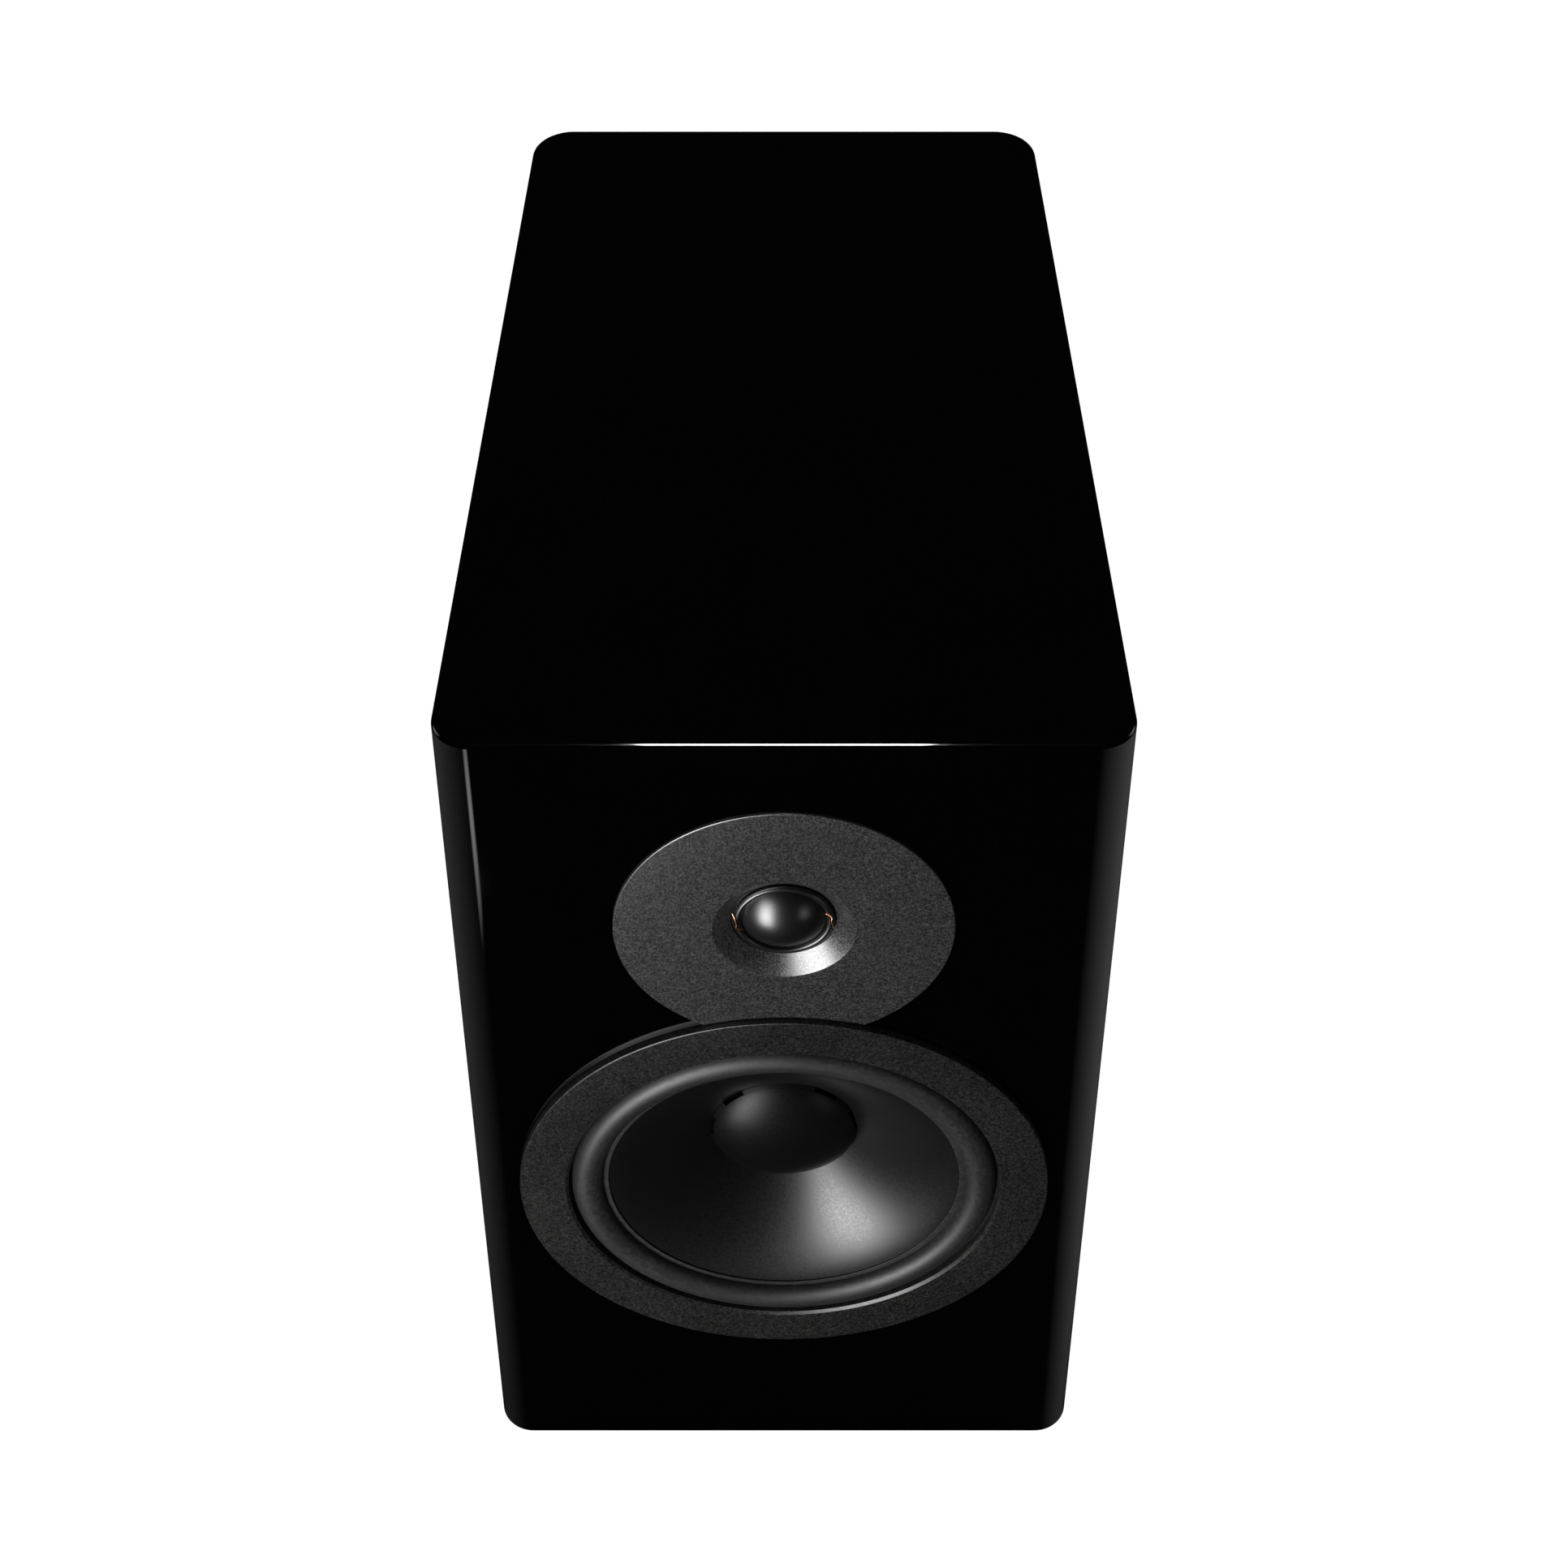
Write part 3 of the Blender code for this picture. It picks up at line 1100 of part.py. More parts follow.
def build():
    """Makes every piece."""
    clear_scene()
    lacquer = finish("gloss_black_lacquer", (0.004, 0.004, 0.004), 0.05)
    board = finish("raw_fibreboard", (0.42, 0.3, 0.19), 0.85)
    foam = finish("grey_foam", (0.12, 0.12, 0.13), 0.95)
    trim = finish("textured_black_paint", (0.025, 0.025, 0.026), 0.55)
    casting = finish("black_cast_aluminium", (0.03, 0.03, 0.03), 0.5, 0.6)
    rubber = finish("surround_rubber", (0.02, 0.02, 0.02), 0.42)
    pulp = finish("woofer_cone_polymer", (0.018, 0.018, 0.018), 0.4)
    cap_finish = finish("dust_cap_polymer", (0.016, 0.016, 0.016), 0.38)
    former = finish("coil_former", (0.55, 0.36, 0.16), 0.4, 0.4)
    cloth = finish("spider_cloth", (0.5, 0.32, 0.12), 0.9)
    steel = finish("zinc_plated_steel", (0.6, 0.6, 0.58), 0.35, 1.0)
    ferrite = finish("ferrite", (0.05, 0.05, 0.055), 0.7)
    screw_steel = finish("black_screw_steel", (0.04, 0.04, 0.04), 0.35, 0.9)
    silk = finish("coated_silk", (0.02, 0.02, 0.021), 0.45)
    copper = finish("bare_copper", (0.78, 0.36, 0.2), 0.25, 1.0)
    moulding = finish("black_moulding", (0.02, 0.02, 0.02), 0.45)
    gilt = finish("gilt_brass", (0.83, 0.6, 0.24), 0.22, 1.0)
    caps = {
        "red": finish("red_knob", (0.5, 0.02, 0.02), 0.3),
        "black": finish("black_knob", (0.015, 0.015, 0.015), 0.3),
    }
    film = finish("film_capacitor", (0.6, 0.42, 0.08), 0.4)
    cement = finish("cement_resistor", (0.75, 0.74, 0.7), 0.8)
    insulation = finish("wire_insulation", (0.06, 0.06, 0.065), 0.5)
    make_cabinet(lacquer, board, foam)
    make_woofer(trim, casting, rubber, pulp, cap_finish, former, cloth, steel, ferrite, screw_steel)
    tweeter_end = make_tweeter(trim, silk, former, copper, steel, ferrite, moulding, screw_steel)
    make_port(moulding)
    make_terminal_plate(moulding, screw_steel)
    make_posts(moulding, gilt, caps)
    board_half, board_front, board_back = make_crossover(board, copper, film, cement)
    make_wiring(board_half, board_front, board_back, tweeter_end, insulation)


build()
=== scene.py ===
"""Meshes, finishes, light and camera of a compact two-way bookshelf loudspeaker.

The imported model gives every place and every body. Each sub-assembly of the loudspeaker is a class that builds
its fine meshes around that model, dresses them, and gives each one to the body that it moves with.
Lengths are in metres, +Z is up, and the baffle faces -Y. A driver's profile is a list of (radius, depth),
where depth counts from the baffle's face into the cabinet.
"""

from __future__ import annotations

import json
import logging
import math
from collections.abc import Callable, Iterable, Sequence
from dataclasses import dataclass, field
from enum import Enum

import bmesh
import bpy
import numpy as np
from mathutils import Matrix, Vector

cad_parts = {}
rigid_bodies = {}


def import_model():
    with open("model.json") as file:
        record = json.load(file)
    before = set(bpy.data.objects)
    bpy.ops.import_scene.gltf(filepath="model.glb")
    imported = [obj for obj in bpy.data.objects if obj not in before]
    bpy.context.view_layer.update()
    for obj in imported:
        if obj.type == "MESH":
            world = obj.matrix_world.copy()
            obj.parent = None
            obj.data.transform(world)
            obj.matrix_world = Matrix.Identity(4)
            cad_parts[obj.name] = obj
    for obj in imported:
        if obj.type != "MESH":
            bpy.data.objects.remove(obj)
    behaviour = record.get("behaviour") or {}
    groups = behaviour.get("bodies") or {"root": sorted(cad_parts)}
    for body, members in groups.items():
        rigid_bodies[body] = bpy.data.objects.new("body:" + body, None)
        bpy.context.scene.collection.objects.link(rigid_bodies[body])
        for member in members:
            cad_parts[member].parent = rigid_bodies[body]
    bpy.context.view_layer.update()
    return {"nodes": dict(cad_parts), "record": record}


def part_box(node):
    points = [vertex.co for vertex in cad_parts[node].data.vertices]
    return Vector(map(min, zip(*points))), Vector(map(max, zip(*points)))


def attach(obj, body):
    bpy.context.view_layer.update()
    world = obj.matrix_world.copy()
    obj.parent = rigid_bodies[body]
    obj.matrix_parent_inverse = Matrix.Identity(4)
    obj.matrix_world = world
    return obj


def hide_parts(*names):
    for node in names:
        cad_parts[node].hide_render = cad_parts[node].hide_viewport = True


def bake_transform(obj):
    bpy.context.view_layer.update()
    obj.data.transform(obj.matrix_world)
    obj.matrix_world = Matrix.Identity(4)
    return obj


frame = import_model()
LOG = logging.getLogger("loudspeaker")

MM = 0.001
MICRON = 0.000001
WELD = 0.2 * MICRON
SHARP = math.radians(32)
AROUND = 256
SMALL_AROUND = 64
CORNER_STEPS = 5
PAST = 5 * MM

Point = tuple[float, float]
Colour = tuple[float, float, float]


# ---------------------------------------------------------------- node trees


class Graph:
    """Adds nodes to one tree and joins them."""

    def __init__(self, tree: bpy.types.NodeTree) -> None:
        """Keeps the tree that the nodes go into."""
        self.tree = tree

    def add(
        self, kind: str, inputs: dict[str | int, object] | None = None, **settings: object
    ) -> bpy.types.Node:
        """Adds a node.

        Args:
            kind: the node's Blender type.
            inputs: a value or an output socket for each named or numbered input.
            **settings: the node's own properties.

        Returns:
            The new node.
        """
        node = self.tree.nodes.new(kind)
        for key, value in settings.items():
            setattr(node, key, value)
        for key, value in (inputs or {}).items():
            self.feed(node.inputs[key], value)
        return node

    def feed(self, socket: bpy.types.NodeSocket, value: object) -> None:
        """Joins an output socket to an input, or sets the input's own value."""
        if isinstance(value, bpy.types.NodeSocket):
            self.tree.links.new(value, socket)
        else:
            socket.default_value = value

    def math(self, operation: str, *values: object, clamp: bool = False) -> bpy.types.NodeSocket:
        """Adds a Math node.

        Args:
            operation: Blender's name of the operation.
            *values: numbers or output sockets, in order.
            clamp: whether the result is held between 0 and 1.

        Returns:
            The result's socket.
        """
        inputs = dict(enumerate(values))
        return self.add("ShaderNodeMath", inputs, operation=operation, use_clamp=clamp).outputs[0]

    def blend(self, share: object, first: object, second: object) -> bpy.types.NodeSocket:
        """A number that goes from first to second as share goes from 0 to 1."""
        inputs = {"Factor": share, "A": first, "B": second}
        return self.add("ShaderNodeMix", inputs, data_type="FLOAT").outputs["Result"]

    def blend_colour(self, share: object, first: object, second: object) -> bpy.types.NodeSocket:
        """A colour that goes from first to second as share goes from 0 to 1."""
        node = self.add("ShaderNodeMix", {"Factor": share}, data_type="RGBA")
        for name, value in (("A", first), ("B", second)):
            socket = next(s for s in node.inputs if s.name == name and s.type == "RGBA")
            self.feed(socket, value)
        return next(s for s in node.outputs if s.type == "RGBA")

    def noise(self, place: object, scale: float, detail: float = 2.0) -> bpy.types.NodeSocket:
        """The height of a cloudy noise, about 0 to 1."""
        inputs = {"Vector": place, "Scale": scale, "Detail": detail}
        return self.add("ShaderNodeTexNoise", inputs).outputs[0]

    def cells(self, place: object, scale: float) -> bpy.types.NodeSocket:
        """The height of rounded pebbles, 0 at their middles."""
        inputs = {"Vector": place, "Scale": scale, "Smoothness": 0.6}
        return self.add("ShaderNodeTexVoronoi", inputs, feature="SMOOTH_F1").outputs["Distance"]

    def waves(self, place: object, axis: str, scale: float) -> bpy.types.NodeSocket:
        """The height of parallel waves across an axis, 0 to 1."""
        inputs = {"Vector": place, "Scale": scale}
        return self.add("ShaderNodeTexWave", inputs, bands_direction=axis).outputs["Fac"]


# ---------------------------------------------------------------- finishes


class Grain(Enum):
    """What a surface looks like close by."""

    POLISHED = "polished"
    POWDER = "powder"
    LEATHER = "leather"
    WEAVE = "weave"
    BRUSHED = "brushed"
    TURNED = "turned"
    FIBRE = "fibre"
    SPONGE = "sponge"
    WOUND = "wound"


def polished(graph: Graph, place: object) -> tuple[object, object]:
    """Lacquer's long, shallow ripple, and faint smears."""
    return graph.noise(place, 1.0, 1.0), graph.noise(place, 0.35, 4.0)


def powder(graph: Graph, place: object) -> tuple[object, object]:
    """Fine, even speckle of a textured coat."""
    fine = graph.noise(place, 1.0, 2.0)
    pits = graph.cells(place, 1.2)
    height = graph.math("SUBTRACT", fine, graph.math("MULTIPLY", pits, 0.35))
    speckle = graph.math("MULTIPLY_ADD", graph.noise(place, 0.95, 3.0), 3.4, -1.4, clamp=True)
    return height, speckle


def leather(graph: Graph, place: object) -> tuple[object, object]:
    """Small soft pebbles with creases between them."""
    swirl = graph.add("ShaderNodeTexNoise", {"Vector": place, "Scale": 0.5, "Detail": 2.0}).outputs["Color"]
    inputs = {0: place, 1: swirl}
    bent = graph.add("ShaderNodeVectorMath", inputs, operation="ADD").outputs[0]
    pebbles = graph.math("SUBTRACT", 1.0, graph.cells(bent, 1.0), clamp=True)
    fine = graph.noise(place, 2.2, 2.0)
    return graph.blend(0.3, pebbles, fine), pebbles


def weave(graph: Graph, place: object) -> tuple[object, object]:
    """Threads over and under each other."""
    across = graph.waves(place, "X", 0.32)
    up = graph.waves(place, "Z", 0.32)
    cloth = graph.math("MAXIMUM", across, up)
    return cloth, graph.math("MULTIPLY", across, up)


def brushed(graph: Graph, place: object) -> tuple[object, object]:
    """Long fine scratches along X."""
    stretch = graph.add("ShaderNodeMapping", {"Vector": place, "Scale": (0.03, 1.0, 1.0)}).outputs[0]
    lines = graph.noise(stretch, 1.0, 3.0)
    return lines, graph.noise(stretch, 0.4, 2.0)


def turned_marks(graph: Graph, place: object) -> tuple[object, object]:
    """Fine lathe lines along Y."""
    stretch = graph.add("ShaderNodeMapping", {"Vector": place, "Scale": (0.02, 1.0, 0.02)}).outputs[0]
    lines = graph.noise(stretch, 1.0, 2.0)
    return lines, graph.noise(place, 0.05, 2.0)


def fibre(graph: Graph, place: object) -> tuple[object, object]:
    """Short tangled fibres of pressed board."""
    first = graph.add("ShaderNodeMapping", {"Vector": place, "Scale": (0.15, 1.0, 1.0)}).outputs[0]
    second = graph.add("ShaderNodeMapping", {"Vector": place, "Scale": (1.0, 0.15, 1.0)}).outputs[0]
    tangle = graph.math("MAXIMUM", graph.noise(first, 1.0, 3.0), graph.noise(second, 1.0, 3.0))
    return tangle, graph.noise(place, 0.08, 4.0)


def sponge(graph: Graph, place: object) -> tuple[object, object]:
    """Open cells of foam."""
    walls = graph.cells(place, 1.0)
    return walls, graph.math("POWER", walls, 2.0)


def wound(graph: Graph, place: object) -> tuple[object, object]:
    """Turns of wire that lie side by side along Z, with a slight unevenness."""
    uneven = graph.noise(place, 0.1, 2.0)
    return graph.waves(place, "Z", 0.32), uneven


GRAINS: dict[Grain, Callable[[Graph, object], tuple[object, object]]] = {
    Grain.POLISHED: polished,
    Grain.POWDER: powder,
    Grain.LEATHER: leather,
    Grain.WEAVE: weave,
    Grain.BRUSHED: brushed,
    Grain.TURNED: turned_marks,
    Grain.FIBRE: fibre,
    Grain.SPONGE: sponge,
    Grain.WOUND: wound,
}


def grain_group(grain: Grain) -> bpy.types.NodeTree:
    """The shader group of one grain, built once.

    Args:
        grain: which grain it is.

    Returns:
        A group with the inputs Place and Size, and the outputs Height and Mask.
    """
    name = f"grain_{grain.value}"
    if name in bpy.data.node_groups:
        return bpy.data.node_groups[name]
    tree = bpy.data.node_groups.new(name, "ShaderNodeTree")
    tree.interface.new_socket(name="Place", in_out="INPUT", socket_type="NodeSocketVector")
    tree.interface.new_socket(name="Size", in_out="INPUT", socket_type="NodeSocketFloat")
    for label in ("Height", "Mask"):
        tree.interface.new_socket(name=label, in_out="OUTPUT", socket_type="NodeSocketFloat")
    graph = Graph(tree)
    given = graph.add("NodeGroupInput")
    inputs = {0: given.outputs["Place"], "Scale": graph.math("DIVIDE", 1.0, given.outputs["Size"])}
    place = graph.add("ShaderNodeVectorMath", inputs, operation="SCALE").outputs[0]
    height, mask = GRAINS[grain](graph, place)
    graph.add("NodeGroupOutput", {"Height": height, "Mask": mask})
    return tree


def dust_group() -> bpy.types.NodeTree:
    """The shader group for light dust, built once."""
    name = "light_dust"
    if name in bpy.data.node_groups:
        return bpy.data.node_groups[name]
    tree = bpy.data.node_groups.new(name, "ShaderNodeTree")
    tree.interface.new_socket(name="Place", in_out="INPUT", socket_type="NodeSocketVector")
    tree.interface.new_socket(name="Amount", in_out="INPUT", socket_type="NodeSocketFloat")
    tree.interface.new_socket(name="Mask", in_out="OUTPUT", socket_type="NodeSocketFloat")
    graph = Graph(tree)
    given = graph.add("NodeGroupInput")
    specks = graph.math("POWER", graph.noise(given.outputs["Place"], 900.0, 3.0), 3.0)
    patches = graph.noise(given.outputs["Place"], 35.0, 3.0)
    cover = graph.math("MULTIPLY", specks, patches)
    amount = graph.math("MULTIPLY", cover, given.outputs["Amount"], clamp=True)
    graph.add("NodeGroupOutput", {"Mask": amount})
    return tree


@dataclass(frozen=True)
class Finish:
    """One surface finish: its colour, gloss and grain."""

    name: str
    colour: Colour
    roughness: float
    grain: Grain
    size: float
    height: float
    low_colour: Colour | None = None
    metallic: float = 0.0
    uneven: float = 0.08
    coat: float = 0.0
    coat_roughness: float = 0.03
    specular: float = 0.5
    transmission: float = 0.0
    dust: float = 0.15

    def build(self) -> bpy.types.Material:
        """The finish's material, built once."""
        name = f"finish_{self.name}"
        if name in bpy.data.materials:
            return bpy.data.materials[name]
        material = bpy.data.materials.new(name)
        material.use_nodes = True
        material.diffuse_color = (*self.colour, 1.0)
        graph = Graph(material.node_tree)
        shader = material.node_tree.nodes["Principled BSDF"]
        place = graph.add("ShaderNodeTexCoord").outputs["Object"]
        grain = graph.add("ShaderNodeGroup", node_tree=grain_group(self.grain))
        graph.feed(grain.inputs["Place"], place)
        graph.feed(grain.inputs["Size"], self.size)
        dust = graph.add("ShaderNodeGroup", node_tree=dust_group())
        graph.feed(dust.inputs["Place"], place)
        graph.feed(dust.inputs["Amount"], self.dust)
        low = self.low_colour or tuple(part * 0.72 for part in self.colour)
        tone = graph.blend_colour(grain.outputs["Mask"], (*low, 1.0), (*self.colour, 1.0))
        graph.feed(shader.inputs["Base Color"], graph.blend_colour(dust.outputs["Mask"], tone, (*DUST, 1.0)))
        low_gloss, high_gloss = self.roughness - self.uneven / 2, self.roughness + self.uneven / 2
        gloss = graph.blend(grain.outputs["Mask"], max(low_gloss, 0.0), high_gloss)
        graph.feed(shader.inputs["Roughness"], graph.blend(dust.outputs["Mask"], gloss, 0.8))
        inputs = {"Height": grain.outputs["Height"], "Distance": self.height, "Strength": 1.0}
        graph.feed(shader.inputs["Normal"], graph.add("ShaderNodeBump", inputs).outputs["Normal"])
        shader.inputs["Metallic"].default_value = self.metallic
        shader.inputs["Specular IOR Level"].default_value = self.specular
        shader.inputs["Coat Weight"].default_value = self.coat
        shader.inputs["Coat Roughness"].default_value = self.coat_roughness
        shader.inputs["Transmission Weight"].default_value = self.transmission
        return material


DUST: Colour = (0.30, 0.29, 0.27)

LACQUER = Finish(
    "gloss_black_lacquer", (0.001, 0.001, 0.001), 0.04, Grain.POLISHED, 11 * MM, 0.6 * MICRON,
    uneven=0.02, dust=0.003,
)
TEXTURED_PAINT = Finish(
    "textured_black_paint", (0.02, 0.02, 0.0205), 0.37, Grain.POWDER, 0.5 * MM, 8 * MICRON,
    low_colour=(0.003, 0.003, 0.003), uneven=0.16, specular=0.22,
)
# The face plate's textured paint, made darker for the woofer's trim ring: the darkening is painted shade for
# the dimmer light on the ring.
SHADED_TRIM_PAINT = Finish(
    "matt_trim_paint", (0.008, 0.008, 0.0082), 0.38, Grain.POWDER, 0.5 * MM, 6 * MICRON,
    low_colour=(0.0006, 0.0006, 0.0006), uneven=0.14, specular=0.09,
)
RUBBER = Finish(
    "surround_rubber", (0.004, 0.004, 0.0042), 0.5, Grain.POWDER, 0.9 * MM, 3 * MICRON,
    low_colour=(0.0025, 0.0025, 0.0025), specular=0.36,
)
CONE_POLYMER = Finish(
    "cone_polymer", (0.0022, 0.0022, 0.0022), 0.36, Grain.LEATHER, 0.7 * MM, 9 * MICRON, uneven=0.1, dust=0.01
)
CAP_POLYMER = Finish(
    "cap_polymer", (0.0016, 0.0016, 0.0016), 0.34, Grain.LEATHER, 0.8 * MM, 9 * MICRON, uneven=0.1,
    specular=0.09, dust=0.01,
)
SILK = Finish(
    "coated_silk", (0.002, 0.002, 0.0022), 0.3, Grain.WEAVE, 0.6 * MM, 1.2 * MICRON, uneven=0.04, dust=0.02
)
FORMER = Finish("anodised_former", (0.03, 0.03, 0.032), 0.4, Grain.TURNED, 0.4 * MM, 4 * MICRON, metallic=0.6)
COPPER = Finish("bare_copper", (0.82, 0.36, 0.20), 0.24, Grain.BRUSHED, 0.2 * MM, 2 * MICRON, metallic=1.0)
BLACK_CASTING = Finish(
    "black_casting", (0.03, 0.03, 0.031), 0.5, Grain.POWDER, 0.5 * MM, 20 * MICRON,
    metallic=0.4,
)
ZINC = Finish("zinc_plated_steel", (0.62, 0.62, 0.6), 0.34, Grain.BRUSHED, 0.5 * MM, 3 * MICRON, metallic=1.0)
BLACK_OXIDE = Finish(
    "black_oxide_steel", (0.06, 0.06, 0.062), 0.34, Grain.TURNED, 0.3 * MM, 3 * MICRON,
    metallic=0.9,
)
FERRITE = Finish("ferrite", (0.05, 0.05, 0.055), 0.7, Grain.POWDER, 0.8 * MM, 30 * MICRON)
RAW_BOARD = Finish(
    "raw_fibreboard", (0.44, 0.31, 0.19), 0.88, Grain.FIBRE, 0.9 * MM, 60 * MICRON,
    low_colour=(0.28, 0.19, 0.11),
)
FOAM = Finish(
    "open_foam", (0.13, 0.13, 0.14), 0.95, Grain.SPONGE, 2.2 * MM, 600 * MICRON,
    low_colour=(0.03, 0.03, 0.03),
)
SPIDER_CLOTH = Finish("treated_cloth", (0.52, 0.33, 0.12), 0.85, Grain.WEAVE, 0.7 * MM, 60 * MICRON)
WINDING = Finish(
    "enamelled_winding", (0.72, 0.28, 0.12), 0.3, Grain.WOUND, 0.9 * MM, 200 * MICRON, metallic=0.8,
    low_colour=(0.3, 0.1, 0.04),
)
MOULDING = Finish("black_moulding", (0.02, 0.02, 0.021), 0.46, Grain.POWDER, 0.7 * MM, 16 * MICRON)
GILT = Finish(
    "gold_plated_brass", (0.9, 0.63, 0.24), 0.18, Grain.TURNED, 0.25 * MM, 1.5 * MICRON,
    metallic=1.0,
)
RED_CAP = Finish("red_grip", (0.42, 0.012, 0.012), 0.22, Grain.POLISHED, 3 * MM, 3 * MICRON, coat=0.4)
BLACK_CAP = Finish("black_grip", (0.012, 0.012, 0.012), 0.22, Grain.POLISHED, 3 * MM, 3 * MICRON, coat=0.4)
RED_RING = Finish("red_ring", (0.55, 0.015, 0.012), 0.35, Grain.POWDER, 0.6 * MM, 6 * MICRON)
FILM = Finish("film_wrap", (0.62, 0.42, 0.07), 0.35, Grain.POLISHED, 4 * MM, 12 * MICRON, coat=0.3)
CEMENT = Finish("white_cement", (0.74, 0.73, 0.69), 0.85, Grain.POWDER, 0.9 * MM, 70 * MICRON)
INSULATION = Finish("wire_insulation", (0.05, 0.05, 0.055), 0.48, Grain.POWDER, 0.8 * MM, 10 * MICRON)


# ---------------------------------------------------------------- meshes


def empty_object(name: str, mesh: bpy.types.Mesh) -> bpy.types.Object:
    """An object in the scene that holds a mesh."""
    made = bpy.data.objects.new(name, mesh)
    bpy.context.scene.collection.objects.link(made)
    return made


def evaluated(helper: bpy.types.Object) -> bpy.types.Mesh:
    """The plain mesh that a helper's modifiers leave. The helper itself is removed."""
    bpy.context.view_layer.update()
    graph = bpy.context.evaluated_depsgraph_get()
    mesh = bpy.data.meshes.new_from_object(helper.evaluated_get(graph))
    bpy.data.objects.remove(helper)
    return mesh


def smooth(mesh: bpy.types.Mesh, angle: float = SHARP) -> bpy.types.Mesh:
    """Shades a mesh smooth between its sharp edges."""
    mesh.shade_smooth()
    mesh.set_sharp_from_angle(angle=angle)
    return mesh


def mesh_of(bm: bmesh.types.BMesh, name: str) -> bpy.types.Mesh:
    """Merges a bmesh's doubles, turns its faces outwards and makes a mesh of it."""
    bmesh.ops.remove_doubles(bm, verts=bm.verts, dist=WELD)
    bmesh.ops.recalc_face_normals(bm, faces=bm.faces)
    mesh = bpy.data.meshes.new(name)
    bm.to_mesh(mesh)
    bm.free()
    return smooth(mesh)


def joined(name: str, meshes: Iterable[bpy.types.Mesh]) -> bpy.types.Mesh:
    """One mesh that holds several closed ones side by side."""
    bm = bmesh.new()
    for mesh in meshes:
        bm.from_mesh(mesh)
    made = bpy.data.meshes.new(name)
    bm.to_mesh(made)
    bm.free()
    return smooth(made)


def softened(corners: Sequence[tuple[float, float, float]], steps: int = CORNER_STEPS) -> list[Point]:
    """A closed outline with round corners.

    Args:
        corners: (x, y, radius of the corner), in order round the outline.
        steps: how many pieces each round corner has.

    Returns:
        The outline's points. A corner with no radius stays one point.
    """
    outline: list[Point] = []
    for index, (x, y, radius) in enumerate(corners):
        corner = Vector((x, y))
        before = (Vector(corners[index - 1][:2]) - corner).normalized()
        after = (Vector(corners[(index + 1) % len(corners)][:2]) - corner).normalized()
        bend = before.angle(after)
        if radius <= 0.0 or bend > math.pi - 0.01:
            outline.append((x, y))
            continue
        centre = corner + (before + after).normalized() * (radius / math.sin(bend / 2))
        first = (corner + before * (radius / math.tan(bend / 2)) - centre).normalized()
        last = (corner + after * (radius / math.tan(bend / 2)) - centre).normalized()
        for step in range(steps + 1):
            outline.append(tuple(centre + radius * first.slerp(last, step / steps)))
    return outline


def rolled(name: str, rows: Sequence[Sequence[Vector]], closed_rows: bool = True) -> bpy.types.Mesh:
    """Joins rows of points into a surface.

    Args:
        name: the mesh's name.
        rows: equally long rows, each a closed loop.
        closed_rows: whether the last row also joins the first one.

    Returns:
        The mesh. Without closed_rows its first and last rows are closed by flat faces.
    """
    bm = bmesh.new()
    loops = [[bm.verts.new(point) for point in row] for row in rows]
    pairs = list(zip(loops, loops[1:] + loops[:1])) if closed_rows else list(zip(loops, loops[1:]))
    for near, far in pairs:
        for index in range(len(near)):
            following = (index + 1) % len(near)
            bm.faces.new((near[index], near[following], far[following], far[index]))
    if not closed_rows:
        bm.faces.new(loops[0])
        bm.faces.new(loops[-1])
    return mesh_of(bm, name)


def ring_of(origin: Vector, radius: float, depth: float, around: int) -> list[Vector]:
    """A ring of points about a line along Y, counter-clockwise from the right."""
    angles = (math.tau * step / around for step in range(around))
    return [origin + Vector((radius * math.cos(a), depth, radius * math.sin(a))) for a in angles]


def plug(*lengths: tuple[float, float, float]) -> list[Point]:
    """The profile of a solid stepped bar, from the (radius, start, end) of each of its lengths."""
    points = [(0.0, lengths[0][1])]
    for radius, start, end in lengths:
        points += [(radius, start), (radius, end)]
    return [*points, (0.0, lengths[-1][2])]


def band(inner: float, outer: float, near: float, far: float, soft: float, hard: float) -> list[Point]:
    """The profile of a flat ring.

    Args:
        inner: its inner radius.
        outer: its outer radius.
        near: where it starts along Y.
        far: where it ends along Y.
        soft: the radius of its two near corners.
        hard: the radius of its two far corners.

    Returns:
        The closed profile, with its corners rounded.
    """
    return softened([(inner, near, soft), (outer, near, soft), (outer, far, hard), (inner, far, hard)])


def turned(name: str, origin: Vector, profile: Sequence[Point], around: int = AROUND) -> bpy.types.Mesh:
    """A closed shape turned about a line along Y.

    Args:
        name: the mesh's name.
        origin: a point on the line, where depth is 0.
        profile: the closed profile, as (radius, distance along Y).
        around: the number of facets.

    Returns:
        The mesh.
    """
    bm = bmesh.new()
    rows = []
    for radius, depth in profile:
        if radius < WELD:
            rows.append([bm.verts.new(origin + Vector((0.0, depth, 0.0)))])
            continue
        rows.append([bm.verts.new(point) for point in ring_of(origin, radius, depth, around)])
    for near, far in zip(rows, rows[1:] + rows[:1]):
        if len(near) == len(far) == 1:
            continue
        for index in range(around):
            following = (index + 1) % around
            ring = [near[index % len(near)], near[following % len(near)]]
            ring += [far[following % len(far)], far[index % len(far)]]
            bm.faces.new(list(dict.fromkeys(ring)))
    return mesh_of(bm, name)


